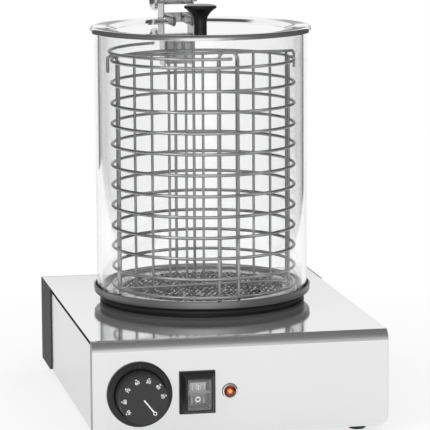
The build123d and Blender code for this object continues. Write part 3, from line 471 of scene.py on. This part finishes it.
def place(piece, spot, tip=0.0, turn=0.0, lean=0.0):
    """Stands a piece, modelled at the origin, in its place, and applies that to its mesh."""
    rest()
    piece.select_set(True)
    bpy.context.view_layer.objects.active = piece
    piece.rotation_euler = (math.radians(tip), math.radians(lean), math.radians(turn))
    piece.location = spot
    bpy.ops.object.transform_apply(location=True, rotation=True, scale=True)
    return piece


bezel = [(0.0190, 0.0), (0.02935, 0.0)] + arc((0.0278, 0.0021), 0.00155, 0, 70, 5)
bezel += [(0.0250, 0.0040), (0.0237, 0.0040)] + arc((0.0237, 0.0033), 0.0007, 90, 180, 4)
bezel += [(0.0230, 0.0004), (0.0190, 0.0004)]
bezel_piece = place(turned("bezel_ring", bezel, steps=128), DIAL, tip=90)
attach(bezel_piece, "base", moulded, "dial_bezel", slot="black_plastic")

knob = [(0.0225, 0.0005)] + arc((0.0206, 0.0240), 0.0010, 3, 90, 6)
knob += [(0.0198, FACE + 0.00005), (0.0, FACE + 0.00005), (0.0, 0.0230), (0.00305, 0.0230)]
knob += [(0.00305, 0.0070), (0.0050, 0.0070), (0.0050, 0.0230), (0.0196, 0.0230), (0.0205, 0.0005)]
knob_piece = place(turned("dial_cap", knob, steps=128), DIAL, tip=90)
attach(knob_piece, "dial", dial_black, "dial_knob", slot="black_plastic")


def printed(name, words, size, spot, turn):
    """Raised print: text made a mesh, turned in its plane, standing on a face at a height."""
    rest()
    bpy.ops.object.text_add(location=(0, 0, 0))
    piece = bpy.context.object
    piece.name = name
    piece.data.body = words
    piece.data.size = size
    piece.data.align_x = "CENTER"
    piece.data.align_y = "CENTER"
    piece.data.extrude = PRINT / 2
    piece.data.offset = 0.00006
    piece.data.resolution_u = 3
    bpy.ops.object.convert(target="MESH")
    piece = bpy.context.object
    return place(piece, spot, turn=turn)


def thickened(step):
    """Fills the outline that is being edited and pulls it out along a step."""
    bpy.ops.mesh.select_all(action="SELECT")
    bpy.ops.mesh.edge_face_add()
    bpy.ops.mesh.extrude_region_move(TRANSFORM_OT_translate={"value": step})
    bpy.ops.mesh.select_all(action="SELECT")
    bpy.ops.mesh.normals_make_consistent(inside=False)


def flat_mark(name, points, low, high):
    """Thin printed mark from an outline in the face's plane."""
    piece = outline(name, [(x, y, low) for x, y in points], closed=True)
    thickened((0, 0, high - low))
    rest()
    return piece


def joined(name, pieces):
    """Several meshes as one piece."""
    rest()
    for piece in pieces:
        piece.select_set(True)
    bpy.context.view_layer.objects.active = pieces[0]
    bpy.ops.object.join()
    pieces[0].name = pieces[0].data.name = name
    return pieces[0]


FIGURE_R = 0.0168       # the figures' ring on the face, and the dots' ring
DOT_R = 0.0200
marks = []
figures = (("30", 10), ("40", 42.4), ("50", 76), ("60", 110.8), ("70", 146.4), ("80", 181.9), ("90", 216.8))
for words, angle in figures:
    across, up = math.cos(math.radians(angle)), math.sin(math.radians(angle))
    figure_place = (FIGURE_R * across, FIGURE_R * up, FACE + PRINT / 2)
    marks.append(printed("figure", words, 0.0042, figure_place, angle - 90))
    dot = arc((DOT_R * across, DOT_R * up), 0.00085, 0, 330, 11)
    marks.append(flat_mark("dot", dot, FACE, FACE + PRINT))
zero = math.radians(-51.9)
along = Vector((math.cos(zero), math.sin(zero)))
across = Vector((-along.y, along.x)) * 0.00058
needle = [along * reach + across * side for reach, side in ((0.0, -1), (0.0140, -1), (0.0140, 1), (0.0, 1))]
marks.append(flat_mark("needle", needle, FACE, FACE + PRINT))
spot = along * 0.0158
zero_ring = [(0.0011, 0.0), (0.0018, 0.0), (0.0018, PRINT), (0.0011, PRINT)]
marks.append(turned("zero", zero_ring, (spot.x, spot.y, FACE), steps=32))
scale = place(joined("dial_scale", marks), DIAL, tip=90)
attach(scale, "dial", print_white)

line = [(-0.0003, 0.0244), (0.0003, 0.0244), (0.0003, 0.0274), (-0.0003, 0.0274)]
index = flat_mark("dial_index", line, 0.0036, 0.00408)
grey_print = painted("grey_print", (0.07, 0.07, 0.07), 0.5, 0.6, 900.0, 0.000004)
attach(place(index, DIAL, tip=90), "base", grey_print)
dress("thermostat_body", terminal_white)
dress("thermostat_shaft", zinc)


# ================================================================ mains switch
# Snap-in rocker switch in a raised black surround, under a clear splash cover that presses into
# its mouth. The rocker has grip ribs and the usual two marks.
SWITCH = (middle("switch_housing")[0], PANEL_Y, middle("switch_housing")[2])
ROCKER_TIP = 10         # degrees the rocker is pressed in at rest
FACE_TIP = 8.3          # degrees each half of its face slopes
ROCKER_OUT = 0.0015     # its pivot's place in front of the panel
dress("switch_housing", moulded)


def painted_glow(made, colour):
    """Painted light: a glow on a piece behind the clear cover, standing in for the light that reaches it
    through the cover.
    """
    shader = made.node_tree.nodes["Principled BSDF"]
    Board(made.node_tree).feed(shader.inputs["Emission Color"], colour)
    shader.inputs["Emission Strength"].default_value = 1.0


section = [(-0.0110, 0.0032), (0.0, 0.0016), (0.0110, 0.0032), (0.0078, -0.0032), (-0.0078, -0.0032)]
rocker = outline("rocker", [(-0.007, y, z) for y, z in section], closed=True)
thickened((0.014, 0, 0))
bpy.ops.mesh.bevel(offset=0.0005, segments=3, affect="EDGES")
smooth(rocker, 40)
ribs = []
for turn in (180, 0):
    for x in (-0.0054, -0.0018, 0.0018, 0.0054):
        left, right = x - 0.0003, x + 0.0003
        foot = [(left, 0.0035, 0), (right, 0.0035, 0), (right, 0.0092, 0), (left, 0.0092, 0)]
        rib = outline("rib", foot, closed=True)
        thickened((0, 0, 0.0008))
        bpy.ops.mesh.bevel(offset=0.0002, segments=2, affect="EDGES")
        ribs.append(place(rib, (0, 0, 0.0014), tip=FACE_TIP, turn=turn))
grips = joined("rocker_grips", ribs)
pin = turned("pin", [(0.0, -0.0123), (0.0015, -0.0123), (0.0015, 0.0123), (0.0, 0.0123)], steps=24)
place(pin, (0, 0, 0), lean=90)
rocker = joined("rocker_cap", [rocker, pin])
place(rocker, (0, 0, ROCKER_OUT), tip=ROCKER_TIP)
rocker_black = painted("rocker_moulding", (0.050, 0.050, 0.051), 0.16, 0.26, 500.0, 0.00001)
board = Board(rocker_black.node_tree)
# Painted light: the rocker glows, faintly at the bottom and brighter towards its top.
painted_top_light = board.ramp((board.along("Z") + 0.011 - SWITCH[2]) * 45.0, [(0.30, 0.0), (1.0, 1.0)])
painted_glow(rocker_black, board.mixed(painted_top_light, (0.010, 0.010, 0.010), (0.40, 0.40, 0.40)))
attach(place(rocker, SWITCH, tip=90), "rocker", rocker_black, "switch_rocker", slot="rocker_plastic")
place(grips, (0, 0, ROCKER_OUT), tip=ROCKER_TIP)
# Painted highlight: the ribs are light grey and glow, standing in for the highlights on them.
rib_highlight_paint = painted("painted_rib_highlights", (0.42, 0.42, 0.42), 0.3, 0.4, 900.0, 0.00001)
painted_glow(rib_highlight_paint, (0.30, 0.30, 0.30))
attach(place(grips, SWITCH, tip=90), "rocker", rib_highlight_paint, slot="rocker_plastic")

MARK = 0.00016          # thickness of the two marks
ring_mark = turned("off_mark", [(0.0013, 0.0), (0.0026, 0.0), (0.0026, MARK), (0.0013, MARK)], steps=40)
place(ring_mark, (0, -0.0056, 0.00238), tip=-FACE_TIP)
stroke = [(-0.00045, -0.0025), (0.00045, -0.0025), (0.00045, 0.0025), (-0.00045, 0.0025)]
bar = flat_mark("on_mark", stroke, 0.0, MARK)
place(bar, (0, 0.0058, 0.00241), tip=FACE_TIP)
switch_marks = joined("switch_marks", [ring_mark, bar])
place(switch_marks, (0, 0, ROCKER_OUT), tip=ROCKER_TIP)
mark_white = painted("mark_white", (0.80, 0.80, 0.79), 0.5, 0.6, 900.0, 0.000004)
# Painted light: the white marks glow behind the cover.
painted_glow(mark_white, (0.50, 0.50, 0.49))
attach(place(switch_marks, SWITCH, tip=90), "rocker", mark_white)


def pick(piece, kind, test):
    """Enters edit mode with only the chosen vertices, edges or polygons selected."""
    rest()
    piece.select_set(True)
    bpy.context.view_layer.objects.active = piece
    kinds = ("vertices", "edges", "polygons")
    bpy.context.tool_settings.mesh_select_mode = tuple(kind == other for other in kinds)
    for other in kinds:
        for part in getattr(piece.data, other):
            part.select = other == kind and test(part)
    bpy.ops.object.mode_set(mode="EDIT")


clear_plastic, board, shader = finish(
    "clear_splash_plastic", (0.90, 0.90, 0.90), 0.10, transmission_weight=0.93, ior=1.45)
cloudy = stretched(board, (620.0, 300.0, 25.0), 1.0)
board.feed(shader.inputs["Roughness"], cloudy * 0.16 + 0.02)
relief(board, shader, cloudy, 0.00003)
rest()
bpy.ops.mesh.primitive_cube_add(size=1, location=(0, 0, 0.00835))
cover = bpy.context.object
cover.name = "splash_hood"
cover.scale = (0.0219, 0.0283, 0.0081)
bpy.ops.object.transform_apply(location=True, rotation=True, scale=True)
pick(cover, "polygons", lambda polygon: polygon.normal.z < -0.9)
bpy.ops.mesh.delete(type="FACE")
bpy.ops.mesh.select_all(action="SELECT")
bpy.ops.mesh.bevel(offset=0.0011, segments=4, affect="EDGES")
bpy.ops.object.mode_set(mode="OBJECT")
wall = cover.modifiers.new("wall", "SOLIDIFY")
wall.thickness = 0.0008
wall.offset = -1
bpy.ops.object.modifier_apply(modifier="wall")
smooth(cover, 40)
attach(place(cover, SWITCH, tip=90), "base", clear_plastic, "splash_cover", slot="clear_cover")


# ================================================================ pilot lamp
# Chromed ring snapped into the panel round a domed orange lens, which a small bulb lights from
# behind. The bulb's white holder is behind the panel.
LAMP = (middle("lamp_ring")[0], PANEL_Y, middle("lamp_ring")[2])
chrome, board, shader = finish("chrome_plate", (0.80, 0.80, 0.81), 0.07, metal=1.0)
haze = stretched(board, (260.0, 260.0, 260.0), 3.0)
board.feed(shader.inputs["Roughness"], haze * 0.10 + 0.03)
lamp_ring = [(0.0054, 0.0), (0.0073, 0.0)] + arc((0.0061, 0.0006), 0.0012, 0, 90, 6)
lamp_ring += [(0.0058, 0.0020)] + arc((0.0058, 0.0016), 0.0004, 90, 180, 4)
ring_piece = place(turned("lamp_bezel", lamp_ring, steps=64), LAMP, tip=90)
attach(ring_piece, "base", chrome, "lamp_ring", slot="chrome_trim")

amber, board, shader = finish("orange_lens", (0.60, 0.10, 0.04), 0.10, ior=1.5)
own = board.node("TexCoord", {}, {}, "Object")
facets = board.node("TexVoronoi", {}, {"Vector": own, "Scale": 420.0})
bulb = (LAMP[0] - 0.0008, LAMP[1] - 0.00407, LAMP[2] + 0.0005)
fade = (330.0, 300.0, 330.0)        # one over the bright core's radius in metres, on each axis
centred = tuple(-at * steep for at, steep in zip(bulb, fade))
near_bulb = board.node("Mapping", {}, {"Vector": own, "Location": centred, "Scale": fade})
lit_core = board.node("TexGradient", {"gradient_type": "SPHERICAL"}, {"Vector": near_bulb})
cells = board.node("SeparateXYZ", {}, {0: Value(board, facets.socket.node.outputs["Color"])}, "X")
board.feed(shader.inputs["Base Color"], board.mixed(cells, (0.02, 0.004, 0.003), (0.26, 0.042, 0.02)))
glow = board.mixed(lit_core * (cells * 0.6 + 0.4), (0.010, 0.001, 0.0), (1.0, 0.33, 0.08))
board.feed(shader.inputs["Emission Color"], glow)
shader.inputs["Emission Strength"].default_value = 2.2
relief(board, shader, facets, 0.0004)
lens = [(0.0, 0.0002), (0.0053, 0.0002), (0.0053, 0.0020)] + arc((0.0, -0.00318), 0.0075, 43.5, 90, 8)
lens_piece = place(turned("lamp_dome", lens, steps=48), LAMP, tip=90)
attach(lens_piece, "base", amber, "lamp_lens", slot="orange_lens")
dress("lamp_body", terminal_white)


# ================================================================ mains entry
# Nylon cable gland through the rear cover, held by its cap nut. Inside, a moulded strip takes the
# mains wires.
nylon = painted("black_nylon", (0.020, 0.020, 0.021), 0.30, 0.42, 800.0, 0.00002)
dress("gland_body", nylon)
dress("gland_cap", nylon)
dress("terminal_block", terminal_white)


# ================================================================ drain plate
# Expanded-metal disc folded into a plain pressed border that stands on the pan's flange. The
# strands are rolled flat after pulling.
plate_metal, board, shader = finish("plate_metal", (0.75, 0.75, 0.75), 0.22, metal=1.0)
worn = stretched(board, (60.0, 60.0, 60.0), 4.0)
# Painted glints and shade: the strands are speckled near black and white, standing in for glints on their
# facets and the shade between them.
painted_glints = board.ramp(stretched(board, (390.0, 80.0, 330.0), 1.0), [(0.50, 0.0), (0.54, 1.0)])
plain = board.mixed(worn, (0.60, 0.60, 0.60), (0.90, 0.90, 0.90))
strand = board.along("Z") < AXIS[2] + 0.01178
board.feed(shader.inputs["Base Color"], board.mixed(strand, plain, painted_glints))
board.feed(shader.inputs["Roughness"], worn * 0.16 + 0.08)
twist = stretched(board, (420.0, 160.0, 420.0))
relief(board, shader, twist, 0.0012)

border = [(0.0772, 0.0108), (0.0772, 0.0120), (0.0902, 0.0120)] + arc((0.0902, 0.0102), 0.0018, 90, 0, 6)
border += [(0.0920, 0.0094), (0.0908, 0.0094)] + arc((0.0902, 0.0102), 0.0006, 0, 90, 3)
border_piece = turned("plate_border", border, AXIS, steps=160)

MESH_SHORT = 0.0028     # half a diamond's short diagonal
MESH_LONG = 0.0060      # half its long diagonal
MESH_R = 0.0790         # whole diamonds end here, under the border
rest()
bpy.ops.mesh.primitive_grid_add(
    x_subdivisions=34, y_subdivisions=34, size=34, location=(0, 0, 0), rotation=(0, 0, math.radians(45)))
mesh_disc = bpy.context.object
mesh_disc.name = "plate_mesh"
bpy.ops.object.transform_apply(location=True, rotation=True, scale=True)
mesh_disc.scale = (MESH_SHORT * math.sqrt(2), MESH_LONG * math.sqrt(2), 1)
bpy.ops.object.transform_apply(location=True, rotation=True, scale=True)
pick(mesh_disc, "polygons", lambda polygon: polygon.center.length > MESH_R)
bpy.ops.mesh.delete(type="FACE")
bpy.ops.object.mode_set(mode="OBJECT")
strands = mesh_disc.modifiers.new("strands", "WIREFRAME")
strands.thickness = 0.0014
strands.use_even_offset = True
bpy.ops.object.modifier_apply(modifier="strands")
mesh_disc.scale = (1, 1, 0.45)
place(mesh_disc, (AXIS[0], AXIS[1], AXIS[2] + 0.0113))
drain = joined("drain_grille", [border_piece, mesh_disc])
attach(drain, "plate", plate_metal, "drain_plate", slot="plate_metal")


# ================================================================ glass cylinder
# Drawn borosilicate tube, its ends fire-polished round. It stands loose on the pan's flange and
# carries the lid.
glass, board, shader = finish("clear_glass", (0.992, 0.996, 0.994), 0.0, transmission_weight=1.0, ior=1.47)
cords = stretched(board, (12.0, 12.0, 2.0))
board.feed(shader.inputs["Base Color"], board.mixed(cords, (0.990, 0.995, 0.992), (0.996, 0.999, 0.997)))
LOW, HIGH = 0.0106, 0.2582      # centres of the rounding at the two ends
tube = arc((0.0988, LOW), 0.0012, -90, 0, 4) + [(0.1, 0.0110), (0.1, 0.2578)]
tube += arc((0.0988, HIGH), 0.0012, 0, 90, 4) + arc((0.0972, HIGH), 0.0012, 90, 180, 4)
tube += [(0.096, 0.2578), (0.096, 0.0110)] + arc((0.0972, LOW), 0.0012, 180, 270, 4)
attach(turned("glass_tube", tube, AXIS, steps=256), "glass", glass, "glass_cylinder", slot="clear_glass")


# ================================================================ lid and its knob
# Spun stainless lid, mirror polished: sunk flat middle, sloped rim with a turned-down edge, and a
# notch at the back for the basket's wires. A moulded mushroom knob is screwed on from below.
polished, board, shader = finish("mirror_polish", (0.84, 0.84, 0.845), 0.03, metal=1.0)
swirl = stretched(board, (18.0, 18.0, 18.0), 3.0)
board.feed(shader.inputs["Roughness"], swirl * 0.06 + 0.01)
board.feed(shader.inputs["Base Color"], board.mixed(swirl, (0.80, 0.80, 0.805), (0.88, 0.88, 0.885)))

SHEET = 0.0008
FLAT = 0.25797          # the sunk middle's upper side
CREST = (0.1015, 0.25817)
slope = [(0.0784, FLAT), (0.0793, 0.25802), (0.0801, 0.25815), (0.0883, 0.26027), (0.0898, 0.26052)]
slope += [(0.0925, 0.26068), (0.1005, 0.26118)]
lid = [(0.0, FLAT)] + slope + arc(CREST, 0.0031, 96, 0, 8) + [(0.1046, 0.2566)]
lid += arc((0.1042, 0.2566), 0.0004, 0, -180, 4) + arc(CREST, 0.0031 - SHEET, 0, 96, 6)
lid += [(reach, height - SHEET) for reach, height in reversed(slope)] + [(0.0, FLAT - SHEET)]
lid_piece = turned("lid_spun", lid, AXIS, steps=192, degrees=30)

NOTCH_WIDE = 0.034
NOTCH_LONG = 0.0306
NOTCH_LEVEL = 0.352     # height of the cutter's middle, which is the lid's own
notch_from = AXIS[1] + 0.0797
rest()
bpy.ops.mesh.primitive_cube_add(size=1, location=(0, notch_from + NOTCH_LONG / 2, NOTCH_LEVEL))
cutter = bpy.context.object
cutter.scale = (NOTCH_WIDE, NOTCH_LONG, 0.03)
bpy.ops.object.transform_apply(location=True, rotation=True, scale=True)


def is_inner_corner(edge):
    """Upright edge of the cutter at the notch's inner end."""
    low, high = sorted((cutter.data.vertices[i].co for i in edge.vertices), key=lambda spot: spot.z)
    return high.z - low.z > 0.01 and max(low.y, high.y) < notch_from + 0.01


pick(cutter, "edges", is_inner_corner)
bpy.ops.mesh.bevel(offset=0.003, segments=6, affect="EDGES")
rest()
bpy.context.view_layer.objects.active = lid_piece
lid_piece.select_set(True)
notch = lid_piece.modifiers.new("notch", "BOOLEAN")
notch.operation = "DIFFERENCE"
notch.solver = "EXACT"
notch.object = cutter
bpy.ops.object.modifier_apply(modifier="notch")
bpy.data.objects.remove(cutter)
smooth(lid_piece, 30)
attach(lid_piece, "lid", polished, "lid", slot="polished_steel")

knob_black = painted("knob_plastic", (0.012, 0.012, 0.0125), 0.16, 0.26, 500.0, 0.00001)
flare = [(0.0061 + 0.0091 * (step / 14) ** 2.2, 0.2650 + 0.0128 * step / 14) for step in range(15)]
mushroom = [(0.0, 0.2581), (0.0061, 0.2581)] + flare + arc((0.0149, 0.2784), 0.0005, -50, 75, 4)
mushroom += [(0.0154 * math.sin(turn), 0.2787 + 0.0027 * math.cos(turn) ** 0.5)
             for turn in (1.54, 1.45, 1.32, 1.1, 0.85, 0.6, 0.4, 0.2, 0.0)]
attach(turned("lid_grip", mushroom, AXIS, steps=96), "lid", knob_black, "lid_knob", slot="knob_plastic")
dress("lid_screw", zinc)


# ================================================================ wire basket
# Twelve rings of drawn steel wire, spot-welded round the outside of a front hairpin, two rear
# hanger wires and one upright each side.
BASKET = (*middle("basket_rings")[:2], DECK_TOP)
WIRE = 0.003            # thickness of the basket's wires
FOOT = 0.0120           # where they stand on the drain plate
WELD_R = 0.08237        # hairpin and hangers, inside the rings
HALF_LOOP = 0.0092      # half the distance between a pair's legs
BASKET_TURN = 3         # degrees the basket stands turned on the pan
HAIRPIN_TURN = 5.2
HANGER_TURN = 1.7
drawn_wire, board, shader = finish("drawn_wire", (0.68, 0.68, 0.68), 0.28, metal=1.0)
mottle = stretched(board, (90.0, 90.0, 90.0), 4.0)
fine = stretched(board, (900.0, 900.0, 200.0))
shade = board.mixed(mottle * 0.7 + fine * 0.3, (0.34, 0.34, 0.34), (0.66, 0.66, 0.66))
board.feed(shader.inputs["Base Color"], shade)
board.feed(shader.inputs["Roughness"], mottle * 0.16 + fine * 0.08 + 0.20)
relief(board, shader, fine, 0.00002)


def wire(name, points, thickness, bends=(), reach=0.0, closed=False):
    """Round wire along a line of points, its listed corners rounded; ends are closed."""
    piece = outline(name, points, closed)
    if bends:
        corners = [Vector(points[index]) for index in bends]
        pick(piece, "vertices", lambda vertex: min((vertex.co - spot).length for spot in corners) < 0.00001)
        bpy.ops.mesh.bevel(offset=reach, offset_type="OFFSET", segments=10, affect="VERTICES")
    rest()
    piece.select_set(True)
    bpy.context.view_layer.objects.active = piece
    bpy.ops.object.convert(target="CURVE")
    piece = bpy.context.object
    piece.data.bevel_depth = thickness / 2
    piece.data.bevel_resolution = 3
    piece.data.use_fill_caps = True
    bpy.ops.object.convert(target="MESH")
    piece = bpy.context.object
    smooth(piece, 50)
    return piece


def hoop(radius, start, stop, height, steps):
    """Points of a level arc round the upright axis."""
    return [(x, y, height) for x, y in arc((0, 0), radius, start, stop, steps)]


RING_R = 0.0862
RING_LOW = 0.0164
RING_SECOND = 0.0337
RING_PITCH = 0.0194
RING_TOP = 0.2298
first = wire("ring", hoop(RING_R, 0, 360 * 119 / 120, RING_LOW, 119), WIRE, closed=True)
rings = [first]
for height in [RING_SECOND + RING_PITCH * step for step in range(10)] + [RING_TOP]:
    copy = first.copy()
    copy.data = first.data.copy()
    bpy.context.scene.collection.objects.link(copy)
    rings.append(place(copy, (0, 0, height - RING_LOW)))
rings_piece = place(joined("rings_welded", rings), BASKET, turn=BASKET_TURN)
attach(rings_piece, "basket", drawn_wire, "basket_rings", slot="wire_steel")

arch = [(x, -WELD_R, z) for x, z in arc((0.0, 0.2358), HALF_LOOP, 180, 0, 16)]
legs = [(-HALF_LOOP, -WELD_R, FOOT)] + arch + [(HALF_LOOP, -WELD_R, FOOT)]
hairpin = place(wire("hairpin", legs, WIRE), BASKET, turn=HAIRPIN_TURN)
attach(hairpin, "basket", drawn_wire, "front_hairpin", slot="wire_steel")

OVER_GLASS = 0.2614     # height at which the hangers cross the glass's edge
BEHIND_GLASS = 0.1303   # how far back they come down
hangers = []
for x in (-HALF_LOOP, HALF_LOOP):
    climb = [(x, WELD_R, FOOT), (x, WELD_R, OVER_GLASS)]
    climb += [(x, BEHIND_GLASS, OVER_GLASS), (x, BEHIND_GLASS, 0.2220)]
    hangers.append(wire("hanger", climb, WIRE, bends=(1, 2), reach=0.005))
hangers_piece = place(joined("hangers", hangers), BASKET, turn=HANGER_TURN)
attach(hangers_piece, "basket", drawn_wire, "hanger_wires", slot="wire_steel")

UPRIGHT_R = 0.08288
UPRIGHT_TOP = 0.2313
uprights = []
for angle in (185, -5):
    x, y = UPRIGHT_R * math.cos(math.radians(angle)), UPRIGHT_R * math.sin(math.radians(angle))
    uprights.append(wire("upright", [(x, y, FOOT), (x, y, 0.1), (x, y, UPRIGHT_TOP)], WIRE))
uprights_piece = place(joined("uprights", uprights), BASKET, turn=BASKET_TURN)
attach(uprights_piece, "basket", drawn_wire, "side_uprights", slot="wire_steel")


# ================================================================ divider
# Loose grid across the middle: a bottom wire turned up at both ends, nine bars and a top wire with
# hooked ends that hang over the top ring. A half-round bow is welded on its left end.
GRID_HALF = 0.0825
GRID_LOW, GRID_HIGH = 0.0134, 0.2337
GRID_WIRE = 0.0028      # thickness of the frame and the top wire
BAR_WIRE = 0.0026
BAR_PITCH = 2 * GRID_HALF / 10
edge = [(-GRID_HALF, 0, GRID_HIGH), (-GRID_HALF, 0, GRID_LOW)]
edge += [(GRID_HALF, 0, GRID_LOW), (GRID_HALF, 0, GRID_HIGH)]
bars = [wire("grid_frame", edge, GRID_WIRE, bends=(1, 2), reach=0.006)]
for index in range(1, 10):
    x = -GRID_HALF + BAR_PITCH * index
    bars.append(wire("bar", [(x, 0, GRID_LOW), (x, 0, 0.12), (x, 0, GRID_HIGH)], BAR_WIRE))
grid_piece = place(joined("grid_bars", bars), BASKET, turn=BASKET_TURN)
attach(grid_piece, "divider", drawn_wire, "divider_grid", slot="wire_steel")

HOOK = 0.0908           # the hooks' reach on each side, past the top ring
HOOK_LOW, HOOK_HIGH = 0.2196, 0.2351
hooked = [(-HOOK, 0, HOOK_LOW), (-HOOK, 0, HOOK_HIGH), (HOOK, 0, HOOK_HIGH), (HOOK, 0, HOOK_LOW)]
top = wire("grid_top", hooked, GRID_WIRE, bends=(1, 2), reach=0.003)
attach(place(top, BASKET, turn=BASKET_TURN), "divider", drawn_wire, "divider_top_wire", slot="wire_steel")
BOW_R = 0.0882
BOW_HEIGHT = 0.2380
bow = wire("grid_bow", hoop(BOW_R, 109, 273.5, BOW_HEIGHT, 60), WIRE)
attach(place(bow, BASKET, turn=BASKET_TURN), "divider", drawn_wire, "divider_bow", slot="wire_steel")


# ================================================================ basket handle
# Folded stainless channel hung behind the glass on the two hanger wires; a tube on a headed pin
# between its cheeks is the grip.
PIN = (0, 0.117, 0.2767)        # middle of the pin, from the basket's axis on the deck
handle_steel = brushed("stainless_handle", (500, 500, 12), (0.70, 0.70, 0.705), 0.10, 0.20)[0]
dress("handle_bracket", handle_steel)
grip = [(0.0027, -0.0143)] + arc((0.0039, -0.0137), 0.0006, -90, 0, 3)
grip += arc((0.0039, 0.0137), 0.0006, 0, 90, 3) + [(0.0027, 0.0143)]
grip_piece = place(turned("grip_sleeve", grip, steps=48), PIN, lean=90)
attach(place(grip_piece, BASKET, turn=HANGER_TURN), "basket", handle_steel, "grip_tube", slot="wire_steel")
headed = [(0.0, 0.0205)] + arc((0.0020, 0.0200), 0.0005, 90, 0, 3) + [(0.0025, -0.0155), (0.0043, -0.0155)]
headed += arc((0.0039, -0.0197), 0.0004, 0, -90, 2) + [(0.0095, -0.0201)]
headed += arc((0.0095, -0.0209), 0.0008, 90, 0, 3)
headed += [(0.0103 * math.sin(turn), -0.0225 - 0.0048 * math.cos(turn))
           for turn in (1.57, 1.3, 1.05, 0.8, 0.55, 0.3, 0.0)]
pin_piece = place(turned("grip_stud", headed, steps=48), PIN, lean=90)
attach(place(pin_piece, BASKET, turn=HANGER_TURN), "basket", handle_steel, "grip_pin", slot="wire_steel")


rest()
